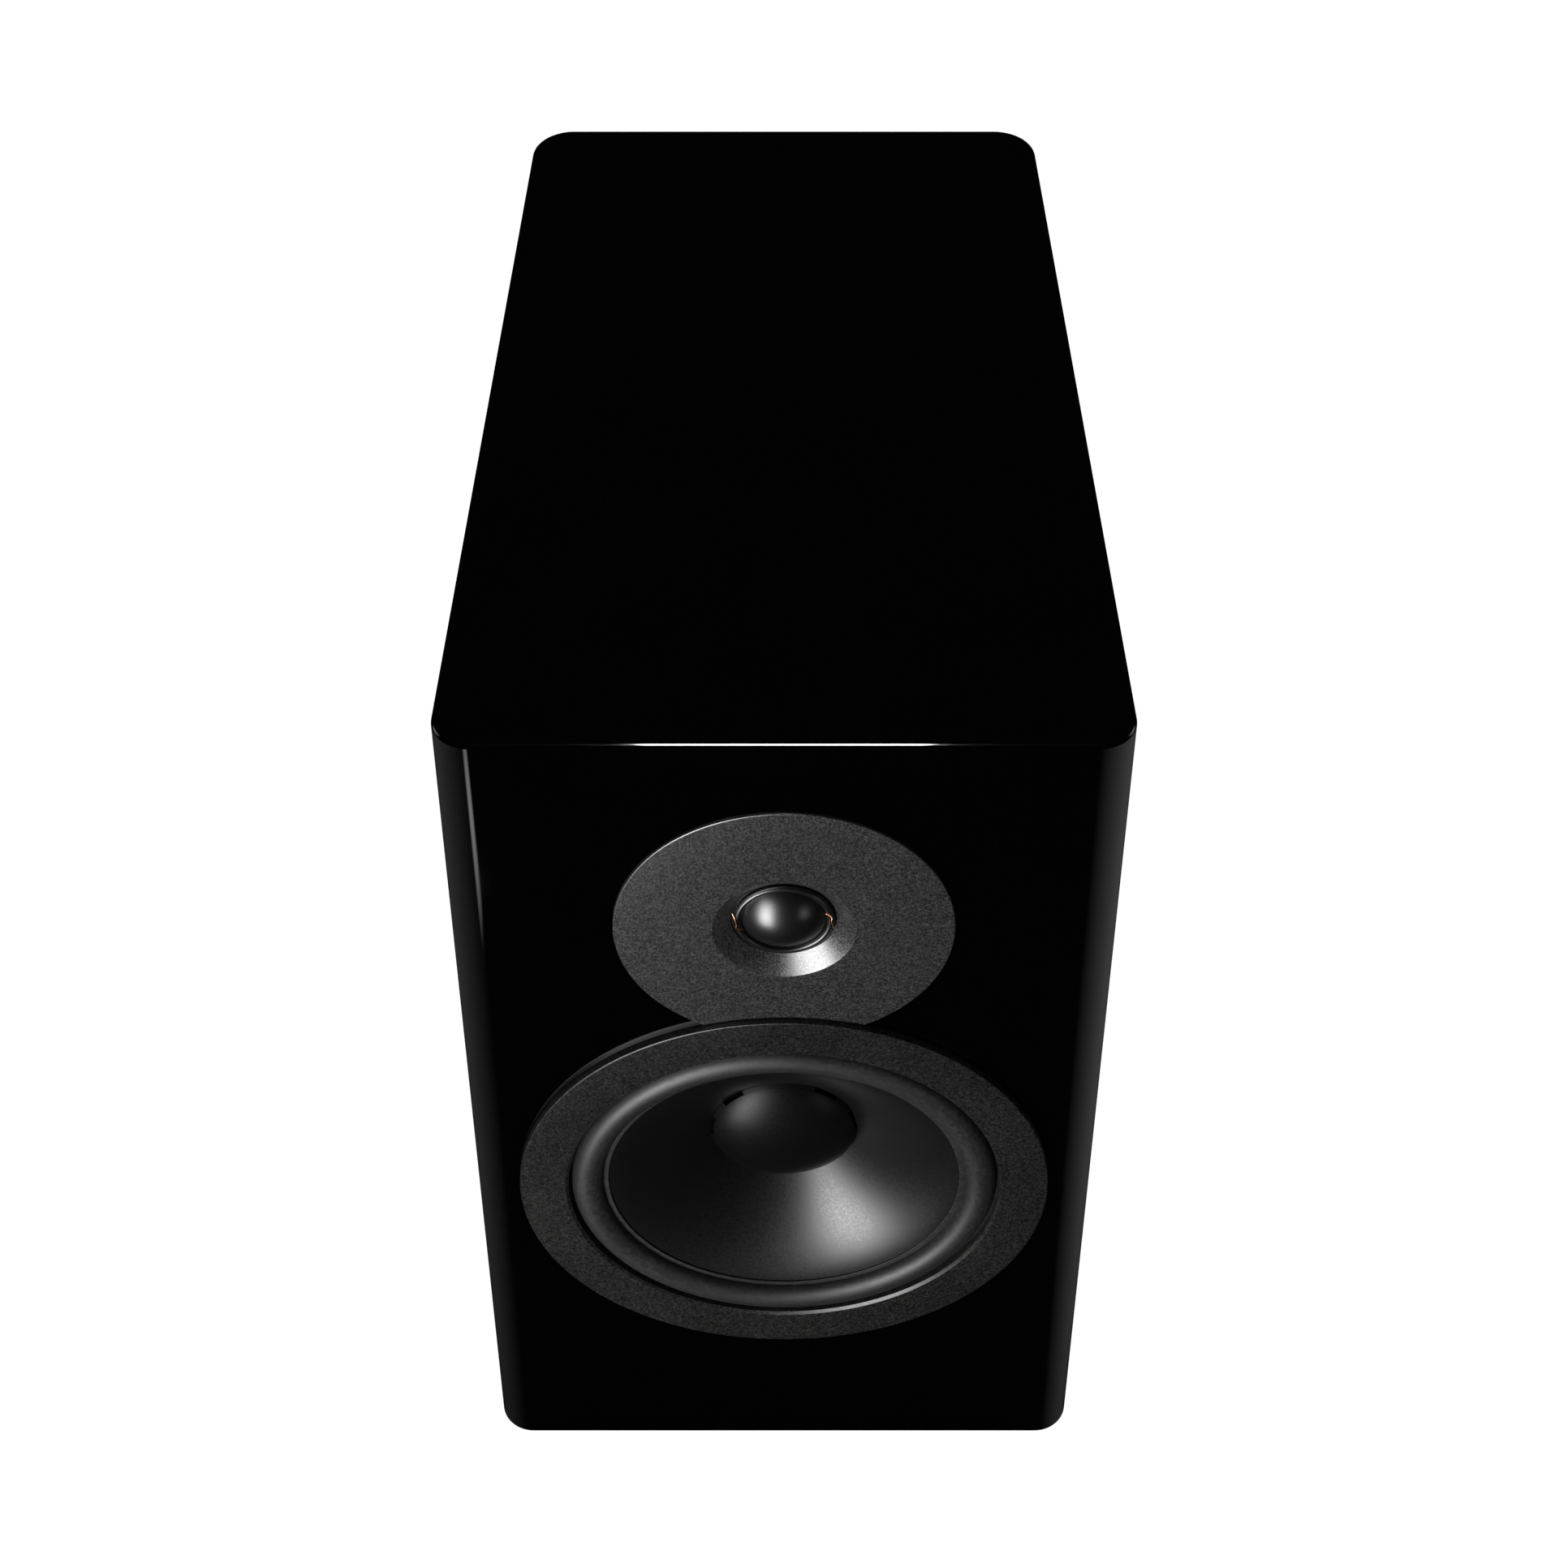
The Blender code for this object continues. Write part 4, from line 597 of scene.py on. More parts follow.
def cut(name: str, body: bpy.types.Mesh, cutters: Iterable[bpy.types.Mesh]) -> bpy.types.Mesh:
    """Takes closed shapes out of a closed one.

    Args:
        name: the new mesh's name.
        body: what is cut.
        cutters: the shapes that are taken out.

    Returns:
        The mesh that is left, with smooth curves between flat faces.
    """
    target = empty_object(name, body)
    helpers = []
    for cutter in cutters:
        helper = empty_object("cutter", cutter)
        modifier = target.modifiers.new("Cut", "BOOLEAN")
        modifier.operation = "DIFFERENCE"
        modifier.solver = "EXACT"
        modifier.object = helper
        helpers.append(helper)
    mesh = evaluated(target)
    for helper in helpers:
        bpy.data.objects.remove(helper)
    mesh.materials.clear()
    return flat_faced(name, mesh)


def flat_faced(name: str, mesh: bpy.types.Mesh) -> bpy.types.Mesh:
    """Gives the large flat faces of a mesh flat shading right up to the curves that leave them."""
    helper = empty_object(name, smooth(mesh))
    modifier = helper.modifiers.new("Normals", "WEIGHTED_NORMAL")
    modifier.mode = "FACE_AREA"
    modifier.weight = 100
    modifier.keep_sharp = True
    return evaluated(helper)


def tube(name: str, route: Sequence[Vector], radius: float, sides: int = 12) -> bpy.types.Mesh:
    """A round wire with closed ends along a route."""
    curve = bpy.data.curves.new(name, "CURVE")
    curve.dimensions = "3D"
    curve.bevel_depth = radius
    curve.bevel_resolution = sides // 4
    curve.use_fill_caps = True
    spline = curve.splines.new("BEZIER")
    spline.bezier_points.add(len(route) - 1)
    for knot, point in zip(spline.bezier_points, route):
        knot.co = point
        knot.handle_left_type = knot.handle_right_type = "AUTO"
    helper = bpy.data.objects.new(name, curve)
    bpy.context.scene.collection.objects.link(helper)
    mesh = evaluated(helper)
    bm = bmesh.new()
    bm.from_mesh(mesh)
    return mesh_of(bm, name)


def show(
    name: str, mesh: bpy.types.Mesh, finish: Finish, slot: str, body: str | None, *nodes: str
) -> bpy.types.Object:
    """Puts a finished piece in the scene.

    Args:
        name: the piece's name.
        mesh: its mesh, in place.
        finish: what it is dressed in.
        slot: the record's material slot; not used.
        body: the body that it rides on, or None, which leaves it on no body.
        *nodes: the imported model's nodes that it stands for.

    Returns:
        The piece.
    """
    mesh.materials.clear()
    mesh.materials.append(finish.build())
    made = empty_object(name, mesh)
    if body:
        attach(made, body)
    if nodes:
        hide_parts(*nodes)
    LOG.info("%s: %d faces", name, len(mesh.polygons))
    return made


def flexes(piece: bpy.types.Object) -> None:
    """Bakes a round piece's placement into its mesh and leaves it on no body.

    Args:
        piece: the piece, whose mesh is final.
    """
    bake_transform(piece)


def middle(node: str) -> Vector:
    """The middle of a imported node's box."""
    low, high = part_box(node)
    return (low + high) / 2


def in_plan(outline: Sequence[Point], height: float) -> list[Vector]:
    """An outline of (x, y), laid level at a height."""
    return [Vector((x, y, height)) for x, y in outline]


def upright(outline: Sequence[Point], origin: Vector, depth: float) -> list[Vector]:
    """An outline of (x, z) about an origin, stood upright at a distance along Y."""
    return [origin + Vector((x, depth, z)) for x, z in outline]


def circle_like(outline: Sequence[Point], radius: float) -> list[Point]:
    """A circle with one point in the direction of each point of an outline."""
    return [tuple(Vector(point).normalized() * radius) for point in outline]


# ---------------------------------------------------------------- generated shapes


class Rule:
    """A Geometry Nodes tree with named inputs, and the mesh that it makes."""

    def __init__(self, name: str, inputs: dict[str, str]) -> None:
        """Starts the tree.

        Args:
            name: the tree's name.
            inputs: each input's name and its kind, such as Float or Int.
        """
        self.tree = bpy.data.node_groups.new(name, "GeometryNodeTree")
        self.sockets: dict[str, str] = {}
        for label, kind in inputs.items():
            made = self.tree.interface.new_socket(name=label, in_out="INPUT", socket_type=f"NodeSocket{kind}")
            self.sockets[label] = made.identifier
        made = self.tree.interface.new_socket(name="Finish", in_out="INPUT", socket_type="NodeSocketMaterial")
        self.sockets["Finish"] = made.identifier
        self.tree.interface.new_socket(name="Geometry", in_out="OUTPUT", socket_type="NodeSocketGeometry")
        self.graph = Graph(self.tree)
        self.given = self.graph.add("NodeGroupInput").outputs

    def end(self, geometry: object) -> None:
        """Realizes the copies, gives them their finish and ends the tree."""
        real = self.graph.add("GeometryNodeRealizeInstances", {0: geometry}).outputs[0]
        inputs = {"Geometry": real, "Material": self.given["Finish"]}
        dressed = self.graph.add("GeometryNodeSetMaterial", inputs).outputs[0]
        self.graph.add("NodeGroupOutput", {"Geometry": dressed})

    def mesh(self, finish: Finish, **sizes: object) -> bpy.types.Mesh:
        """Makes the tree's mesh.

        Args:
            finish: what it is dressed in.
            **sizes: a value for each input, with _ for each space in its name.

        Returns:
            The plain mesh, closed and with its faces outwards.
        """
        helper = empty_object(self.tree.name, bpy.data.meshes.new(self.tree.name))
        modifier = helper.modifiers.new("Rule", "NODES")
        modifier.node_group = self.tree
        modifier[self.sockets["Finish"]] = finish.build()
        for label, value in sizes.items():
            modifier[self.sockets[label.replace("_", " ")]] = value
        bm = bmesh.new()
        bm.from_mesh(evaluated(helper))
        return mesh_of(bm, self.tree.name)


def shell_rule() -> Rule:
    """A thin round shell about a line along Y, whose depth follows a power of its radius, or a half-round."""
    floats = ["Inner Radius", "Outer Radius", "Inner Depth", "Outer Depth"]
    floats += ["Bow", "Roll", "Roundness", "Thickness"]
    inputs = dict.fromkeys(floats, "Float")
    rule = Rule("round_shell", {**inputs, "Rows": "Int", "Around": "Int", "Origin": "Vector"})
    graph, given = rule.graph, rule.given
    across = graph.math("ADD", given["Around"], 1.0)
    along = graph.math("MULTIPLY_ADD", given["Rows"], 2.0, 1.0)
    inputs = {"Size X": 1.0, "Size Y": 1.0, "Vertices X": across, "Vertices Y": along}
    grid = graph.add("GeometryNodeMeshGrid", inputs).outputs["Mesh"]
    place = graph.add("ShaderNodeSeparateXYZ", {0: graph.add("GeometryNodeInputPosition").outputs[0]})
    turn = graph.math("MULTIPLY", graph.math("ADD", place.outputs["X"], 0.5), math.tau)
    side = graph.math("MULTIPLY", place.outputs["Y"], 2.0)
    share = graph.math("SUBTRACT", 1.0, graph.math("ABSOLUTE", side))
    behind = graph.math("GREATER_THAN", side, 0.0)
    arc = graph.math("MULTIPLY", share, math.pi)
    eased = graph.math("MULTIPLY_ADD", graph.math("COSINE", arc), -0.5, 0.5)
    reach = graph.blend(given["Roundness"], share, eased)
    radius = graph.blend(reach, given["Inner Radius"], given["Outer Radius"])
    hollow = graph.math("MULTIPLY", behind, given["Thickness"])
    lean = graph.math("MULTIPLY", hollow, given["Roundness"])
    inset = graph.math("MULTIPLY", lean, graph.math("COSINE", arc))
    radius = graph.math("ADD", radius, inset)
    fall = graph.math("POWER", graph.math("SUBTRACT", 1.0, reach, clamp=True), given["Bow"])
    depth = graph.blend(fall, given["Outer Depth"], given["Inner Depth"])
    rise = graph.math("MULTIPLY", given["Roll"], graph.math("SINE", arc))
    depth = graph.math("ADD", graph.math("SUBTRACT", depth, rise), hollow)
    x = graph.math("MULTIPLY", radius, graph.math("COSINE", turn))
    z = graph.math("MULTIPLY", radius, graph.math("SINE", turn))
    point = graph.add("ShaderNodeCombineXYZ", {"X": x, "Y": depth, "Z": z}).outputs[0]
    point = graph.add("ShaderNodeVectorMath", {0: point, 1: given["Origin"]}, operation="ADD").outputs[0]
    bent = graph.add("GeometryNodeSetPosition", {"Geometry": grid, "Position": point}).outputs[0]
    rule.end(graph.add("GeometryNodeMergeByDistance", {"Geometry": bent, "Distance": WELD}).outputs[0])
    return rule


def thread_rule() -> Rule:
    """A screw thread's ridge, wound along +Y from its start."""
    floats = ("Radius", "Pitch", "Length", "Depth")
    rule = Rule("thread", {**dict.fromkeys(floats, "Float"), "Steps": "Int", "Start": "Vector"})
    graph, given = rule.graph, rule.given
    inputs = {
        "Resolution": given["Steps"],
        "Rotations": graph.math("DIVIDE", given["Length"], given["Pitch"]),
        "Start Radius": given["Radius"],
        "End Radius": given["Radius"],
        "Height": given["Length"],
    }
    spiral = graph.add("GeometryNodeCurveSpiral", inputs).outputs[0]
    inputs = {"Resolution": 4, "Radius": given["Depth"]}
    ridge = graph.add("GeometryNodeCurvePrimitiveCircle", inputs).outputs[0]
    inputs = {"Curve": spiral, "Profile Curve": ridge, "Fill Caps": True}
    swept = graph.add("GeometryNodeCurveToMesh", inputs).outputs[0]
    inputs = {"Geometry": swept, "Translation": given["Start"], "Rotation": (-math.pi / 2, 0.0, 0.0)}
    rule.end(graph.add("GeometryNodeTransform", inputs).outputs[0])
    return rule


def corner_rule() -> Rule:
    """One piece, repeated at the four corners of an upright rectangle."""
    inputs = {"Piece": "Object", "Width": "Float", "Height": "Float", "Centre": "Vector"}
    rule = Rule("at_four_corners", inputs)
    graph, given = rule.graph, rule.given
    inputs = {"Size X": given["Width"], "Size Y": given["Height"], "Vertices X": 2, "Vertices Y": 2}
    grid = graph.add("GeometryNodeMeshGrid", inputs).outputs["Mesh"]
    points = graph.add("GeometryNodeMeshToPoints", {"Mesh": grid}).outputs[0]
    piece = graph.add("GeometryNodeObjectInfo", {"Object": given["Piece"]}, transform_space="ORIGINAL")
    turn = graph.add("FunctionNodeRandomValue", {"Seed": 4}, data_type="FLOAT")
    angle = graph.math("MULTIPLY", turn.outputs[1], math.pi)
    spin = graph.add("ShaderNodeCombineXYZ", {"X": math.pi / 2, "Y": 0.0, "Z": angle}).outputs[0]
    inputs = {"Points": points, "Instance": piece.outputs["Geometry"], "Rotation": spin}
    copies = graph.add("GeometryNodeInstanceOnPoints", inputs).outputs[0]
    inputs = {"Geometry": copies, "Translation": given["Centre"], "Rotation": (-math.pi / 2, 0.0, 0.0)}
    rule.end(graph.add("GeometryNodeTransform", inputs).outputs[0])
    return rule


# ---------------------------------------------------------------- cabinet


@dataclass
class Cabinet:
    """The lacquered cabinet: one closed shell that narrows towards its back, with its openings."""

    width: float = 180 * MM
    back_width: float = 149 * MM
    front_corner: float = 10 * MM
    back_corner: float = 12 * MM
    rim: float = 1.2 * MM
    side_wall: float = 15 * MM
    front_wall: float = 22 * MM
    back_wall: float = 18 * MM
    deck: float = 16 * MM
    corner_steps: int = 24
    rim_steps: int = 6
    front: float = field(init=False)
    back: float = field(init=False)
    height: float = field(init=False)

    def __post_init__(self) -> None:
        """Takes the faces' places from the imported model."""
        self.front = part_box("front_baffle")[0].y
        self.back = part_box("back_panel")[1].y
        self.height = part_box("top_panel")[1].z

    def half(self, y: float) -> float:
        """Half the width at a distance along Y."""
        share = (y - self.front) / (self.back - self.front)
        return (self.width + (self.back_width - self.width) * share) / 2

    def plan(self, inset: float) -> list[Point]:
        """The cabinet's plan, with round corners, moved inwards by an inset."""
        low, high = self.front + inset, self.back - inset
        near, far = self.half(low) - inset, self.half(high) - inset
        front, back = self.front_corner - inset, self.back_corner - inset
        corners = [(-near, low, front), (near, low, front), (far, high, back), (-far, high, back)]
        return softened(corners, self.corner_steps)

    def outside(self) -> bpy.types.Mesh:
        """The solid block, with rounded rims at its top and its bottom."""
        rims = []
        for step in range(self.rim_steps + 1):
            angle = math.pi / 2 * step / self.rim_steps
            rims.append((self.rim * (1 - math.sin(angle)), self.rim * (1 - math.cos(angle))))
        rows = [in_plan(self.plan(inset), height) for inset, height in rims]
        rows += [in_plan(self.plan(inset), self.height - height) for inset, height in reversed(rims)]
        return rolled("cabinet_outside", rows, closed_rows=False)

    def inside(self) -> bpy.types.Mesh:
        """The hollow."""
        low, high = self.front + self.front_wall, self.back - self.back_wall
        near, far = self.half(low) - self.side_wall, self.half(high) - self.side_wall
        plan = [(-near, low), (near, low), (far, high), (-far, high)]
        rows = [in_plan(plan, height) for height in (self.deck, self.height - self.deck)]
        return rolled("hollow", rows, closed_rows=False)

    def build(self, openings: Iterable[bpy.types.Mesh]) -> None:
        """Cuts the openings into the cabinet and shows it.

        Args:
            openings: the closed shapes that the drivers, the port and the terminals need.
        """
        mesh = cut("cabinet_shell", self.outside(), [self.inside(), *openings])
        panels = ["front_baffle", "back_panel", "left_side_panel", "right_side_panel"]
        panels += ["top_panel", "bottom_panel"]
        shell = show("cabinet_shell", mesh, LACQUER, "lacquered_board", "cabinet", *panels)
        mesh.materials.append(RAW_BOARD.build())
        for face in mesh.polygons:
            x, y, z = face.center
            skin = min(y - self.front, self.back - y, self.half(y) - abs(x), z, self.height - z)
            face.material_index = int(skin > 2 * self.back_corner / 3)
        LOG.info("%s has %d openings", shell.name, len(list(openings)))


# ---------------------------------------------------------------- woofer


@dataclass
class Woofer:
    """The low driver: trim ring, surround, cone and slotted dust cap."""

    ring_width: float = 14.05 * MM
    proud: float = 2.4 * MM
    ring_slope: float = 0.8 * MM
    ring_edge: float = 0.45 * MM
    overlap: float = 2.6 * MM
    surround_land: float = 4.2 * MM
    land_lap: float = 0.9 * MM
    land_thickness: float = 0.45 * MM
    surround_height: float = 4.2 * MM
    surround_thickness: float = 0.7 * MM
    edge_depth: float = 1.45 * MM
    cone_thickness: float = 0.9 * MM
    cone_bow: float = 1.4
    coil_lap: float = 1.6 * MM
    cap_depth: float = 20 * MM
    cap_height: float = 6.5 * MM
    cap_arc: float = 0.86
    cap_thickness: float = 0.8 * MM
    slot_places: int = 9
    slot_start: float = math.radians(14.6)
    slot_sweep: float = math.radians(21)
    slot_width: float = 0.95 * MM
    slotless: int = 2
    seat_depth: float = 5.3 * MM
    hole_inset: float = 7.7 * MM
    origin: Vector = field(init=False)
    ring_radius: float = field(init=False)
    bore: float = field(init=False)
    edge_radius: float = field(init=False)
    cap_radius: float = field(init=False)

    def __post_init__(self) -> None:
        """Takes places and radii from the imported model."""
        low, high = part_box("woofer_trim_ring")
        self.origin = Vector((0.0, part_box("front_baffle")[0].y, (low.z + high.z) / 2))
        self.ring_radius = (high.x - low.x) / 2
        self.bore = self.ring_radius - self.ring_width
        low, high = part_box("woofer_cone")
        self.edge_radius = (high.z - low.z) / 2
        low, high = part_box("woofer_dust_cap")
        self.cap_radius = (high.z - low.z) / 2

    def opening(self, front_wall: float) -> bpy.types.Mesh:
        """The seat and the hole that the driver needs in the baffle."""
        seat = self.ring_radius - self.overlap
        hole = seat - self.hole_inset
        profile = plug((seat, -PAST, self.seat_depth), (hole, self.seat_depth, front_wall + PAST))
        return turned("woofer_opening", self.origin, profile, 180)

    def trim_ring(self) -> None:
        """The ring, with a slope at its bore and a rounded outer edge."""
        soft, fine = self.ring_edge, self.ring_edge / 2
        skirt = self.ring_radius - self.overlap - 0.3 * MM
        corners = [
            (self.bore, 0.6 * MM, 0.0),
            (self.bore, self.ring_slope - self.proud, fine),
            (self.bore + self.ring_slope, -self.proud, fine),
            (self.ring_radius, -self.proud, soft),
            (self.ring_radius, -0.05 * MM, fine / 2),
            (skirt, -0.05 * MM, 0.0),
            (skirt, 1.2 * MM, 0.0),
            (self.bore + 2 * MM, 1.2 * MM, 0.0),
        ]
        mesh = turned("trim_ring", self.origin, softened(corners))
        # The ring wears the darker copy of the face plate's paint, which is painted shade.
        show("trim_ring", mesh, SHADED_TRIM_PAINT, "textured_paint", "cabinet", "woofer_trim_ring")

    def surround(self, shells: Rule) -> None:
        """The half-roll with its two lands."""
        inner, outer = self.edge_radius - 0.1 * MM, self.bore - 0.75 * MM
        roll = shells.mesh(
            RUBBER, Inner_Radius=inner, Outer_Radius=outer, Inner_Depth=self.edge_depth,
            Outer_Depth=self.edge_depth, Bow=1.0, Roll=self.surround_height, Roundness=1.0,
            Thickness=self.surround_thickness, Rows=28, Around=AROUND, Origin=self.origin,
        )
        front = self.edge_depth - 0.3 * MM
        lap = self.land_lap
        lands = []
        for start, end in ((inner - 1.5 * MM, inner + lap), (outer - lap, outer + self.surround_land)):
            profile = band(start, end, front, front + self.land_thickness, 0.1 * MM, 0.0)
            lands.append(turned("land", self.origin, profile))
        mesh = joined("surround", [roll, *lands])
        piece = show("surround", mesh, RUBBER, "surround_rubber", None, "woofer_surround")
        flexes(piece)

    def cone(self, shells: Rule) -> None:
        """The bowed cone, closed behind."""
        mesh = shells.mesh(
            CONE_POLYMER, Inner_Radius=self.cap_radius - self.coil_lap, Outer_Radius=self.edge_radius,
            Inner_Depth=self.cap_depth + self.coil_lap, Outer_Depth=self.edge_depth, Bow=self.cone_bow,
            Roll=0.0, Roundness=0.0, Thickness=self.cone_thickness, Rows=56, Around=AROUND,
            Origin=self.origin,
        )
        show("cone", mesh, CONE_POLYMER, "cone_polymer", "woofer_moving", "woofer_cone")

    def slotted(self, angle: float) -> bool:
        """Whether a direction about the axis, counter-clockwise from the right, lies in a slot."""
        pitch = math.tau / self.slot_places
        turn = (angle - self.slot_start + pitch / 2) % math.tau
        return int(turn / pitch) != self.slotless and abs(turn % pitch - pitch / 2) < self.slot_sweep / 2

    def dust_cap(self) -> None:
        """The domed cap, with slots in its edge that open into the coil's space."""
        radii = [self.cap_radius * math.sin(math.pi / 2 * step / 28) for step in range(29)]
        ledge = self.cap_radius - self.slot_width
        radii = [radius for radius in radii if radius < ledge - 0.2 * MM] + [ledge, self.cap_radius]
        around = 360
        rim = math.sqrt(1 - self.cap_arc)
        bm = bmesh.new()

        def layer(depth: float) -> list[list[bmesh.types.BMVert]]:
            """One skin of the cap, as rows of points from the middle outwards."""
            rows = []
            for radius in radii:
                reach = radius / self.cap_radius
                rise = self.cap_height * math.sqrt(max(0.0, 1 - self.cap_arc * reach**2))
                rise = (rise - self.cap_height * rim) / (1 - rim)
                ring = ring_of(self.origin, radius, self.cap_depth - rise + depth, around)
                rows.append([bm.verts.new(point) for point in ring])
            return rows

        front, behind = layer(0.0), layer(self.cap_thickness)
        last = len(radii) - 2

        def kept(row: int, step: int) -> bool:
            """Whether a cell of the cap is there."""
            if row > last:
                return False
            return row < last or not self.slotted(math.tau * ((step % around) + 0.5) / around)

        for row in range(last + 1):
            for step in range(around):
                if not kept(row, step):
                    continue
                following = (step + 1) % around
                for skin in (front, behind):
                    near, far = skin[row], skin[row + 1]
                    bm.faces.new((near[step], near[following], far[following], far[step]))
                walls = (
                    (kept(row + 1, step), (row + 1, step), (row + 1, following)),
                    (row < last or kept(row, step - 1), (row, step), (row + 1, step)),
                    (row < last or kept(row, step + 1), (row, following), (row + 1, following)),
                )
                for hidden, (r1, s1), (r2, s2) in walls:
                    if not hidden:
                        bm.faces.new((front[r1][s1], front[r2][s2], behind[r2][s2], behind[r1][s1]))
        mesh = mesh_of(bm, "dust_cap")
        show("dust_cap", mesh, CAP_POLYMER, "cap_polymer", "woofer_moving", "woofer_dust_cap")

    def build(self, shells: Rule) -> None:
        """Builds and shows the driver's front."""
        self.trim_ring()
        self.surround(shells)
        self.cone(shells)
        self.dust_cap()


# ---------------------------------------------------------------- tweeter


@dataclass
class Tweeter:
    """The high driver: scooped face plate with a dish, roll, soft dome and two copper lead-outs."""

    woofer: Woofer
    proud: float = 0.6 * MM
    plate_back: float = 4 * MM
    edge: float = 0.4 * MM
    corner: float = 0.9 * MM
    gap: float = 0.3 * MM
    mouth: float = 19.1 * MM
    throat: float = 14.2 * MM
    dome_depth: float = 3.5 * MM
    dome_height: float = 4.8 * MM
    dome_thickness: float = 0.4 * MM
    roll_width: float = 2.1 * MM
    roll_height: float = 1.15 * MM
    roll_thickness: float = 0.3 * MM
    lead_radius: float = 0.18 * MM
    lead_rise: float = 3.3 * MM
    seat_depth: float = 4.3 * MM
    hole_radius: float = 27.5 * MM
    origin: Vector = field(init=False)
    radius: float = field(init=False)
    dome_radius: float = field(init=False)

    def __post_init__(self) -> None:
        """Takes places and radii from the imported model."""
        self.origin = Vector((0.0, self.woofer.origin.y, middle("tweeter_dome").z))
        low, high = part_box("tweeter_faceplate")
        self.radius = (high.x - low.x) / 2
        low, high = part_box("tweeter_dome")
        self.dome_radius = (high.z - low.z) / 2

    def outline(self, inset: float) -> list[Point]:
        """The disc with the woofer's circle taken out of its bottom, moved inwards by an inset."""
        apart = self.origin.z - self.woofer.origin.z
        disc, scoop = self.radius - inset, self.woofer.ring_radius + self.gap + inset
        at_disc = math.acos((apart**2 + disc**2 - scoop**2) / (2 * apart * disc))
        at_scoop = math.acos((apart**2 + scoop**2 - disc**2) / (2 * apart * scoop))
        corners = []
        down = -math.pi / 2
        for step in range(AROUND + 1):
            angle = down + at_disc + (math.tau - 2 * at_disc) * step / AROUND
            size = max(self.corner - inset, self.corner / 4) if step in (0, AROUND) else 0.0
            corners.append((disc * math.cos(angle), disc * math.sin(angle), size))
        steps = AROUND // 6
        for step in range(1, steps):
            angle = math.pi / 2 + at_scoop - 2 * at_scoop * step / steps
            corners.append((scoop * math.cos(angle), scoop * math.sin(angle) - apart, 0.0))
        return softened(corners)

    def openings(self, front_wall: float) -> list[bpy.types.Mesh]:
        """The plate's seat and the motor's hole."""
        seat = self.outline(-self.gap)
        rows = [upright(seat, self.origin, depth) for depth in (-PAST, self.seat_depth)]
        hole = turned(
            "motor_hole", self.origin, plug((self.hole_radius, self.seat_depth - MM, front_wall + PAST)), 100
        )
        return [rolled("plate_seat", rows, closed_rows=False), hole]

    def faceplate(self) -> None:
        """The plate, from its throat out over the dish and the scooped rim to its back."""
        rim = self.outline(0.0)
        corners = [
            (self.throat, self.dome_depth + 0.4 * MM, 0.0),
            (self.throat, self.dome_depth, 0.15 * MM),
            (self.mouth, -self.proud, 0.35 * MM),
            (self.mouth + 2 * MM, -self.proud, 0.0),
            (self.mouth + 2 * MM, self.dome_depth, 0.0),
        ]
        dish = softened(corners)[:-1]
        rows = [upright(circle_like(rim, self.throat), self.origin, self.plate_back)]
        rows += [upright(circle_like(rim, radius), self.origin, depth) for radius, depth in dish]
        for step in range(CORNER_STEPS + 1):
            angle = math.pi / 2 * step / CORNER_STEPS
            inset, depth = self.edge * (1 - math.sin(angle)), self.edge * (1 - math.cos(angle))
            rows.append(upright(self.outline(inset), self.origin, depth - self.proud))
        rows.append(upright(rim, self.origin, self.plate_back))
        mesh = rolled("faceplate", rows)
        show("faceplate", mesh, TEXTURED_PAINT, "textured_paint", "cabinet", "tweeter_faceplate")

    def dome(self) -> None:
        """The soft dome, a shallow cap of a sphere."""
        sphere = (self.dome_radius**2 + self.dome_height**2) / (2 * self.dome_height)
        half = math.asin(self.dome_radius / sphere)
        steps = 40
        profile = []
        for size, order in ((sphere, range(steps + 1)), (sphere - self.dome_thickness, range(steps, -1, -1))):
            for step in order:
                angle = half * step / steps
                depth = self.dome_depth - self.dome_height + sphere - size * math.cos(angle)
                profile.append((size * math.sin(angle), depth))
        mesh = turned("dome", self.origin, profile)
        show("dome", mesh, SILK, "silk", "tweeter_moving", "tweeter_dome")

    def roll(self, shells: Rule) -> None:
        """The narrow half-roll round the dome."""
        inner, outer = self.dome_radius - 0.05 * MM, self.dome_radius + self.roll_width
        mesh = shells.mesh(
            SILK, Inner_Radius=inner, Outer_Radius=outer, Inner_Depth=self.dome_depth,
            Outer_Depth=self.dome_depth, Bow=1.0, Roll=self.roll_height, Roundness=1.0,
            Thickness=self.roll_thickness, Rows=20, Around=AROUND, Origin=self.origin,
        )
        depth = self.dome_depth + 0.35 * MM
        profile = band(outer - 0.5 * MM, self.throat + MM, depth, depth + self.roll_thickness, 0.0, 0.0)
        land = turned("land", self.origin, profile)
        piece = show("dome_roll", joined("dome_roll", [mesh, land]), SILK, "silk", None, "tweeter_surround")
        flexes(piece)

    def leads(self) -> None:
        """The two copper wires that cross the roll, each the other one turned half round the axis."""
        above = self.dome_depth - self.roll_height - self.lead_radius - 0.1 * MM
        over = self.dome_radius + 0.6 * self.roll_width
        outer = self.throat - self.lead_radius
        for name, side in (("right", 1), ("left", -1)):
            route = [
                (side * (outer - 0.3 * MM), above + 0.5 * MM, -side * self.lead_rise),
                (side * (over + 0.4 * MM), above, -side * 0.4 * self.lead_rise),
                (side * over, above - 0.1 * MM, side * 0.2 * self.lead_rise),
                (side * over, above, side * 0.7 * self.lead_rise),
                (side * (self.dome_radius - 0.4 * MM), above + 0.6 * MM, side * self.lead_rise),
            ]
            points = [self.origin + Vector(point) for point in route]
            mesh = tube(f"lead_{name}", points, self.lead_radius)
            piece = show(f"lead_{name}", mesh, COPPER, "copper", None, f"tweeter_lead_{name}")
            flexes(piece)

    def build(self, shells: Rule) -> None:
        """Builds and shows the driver's front."""
        self.faceplate()
        self.roll(shells)
        self.dome()
        self.leads()


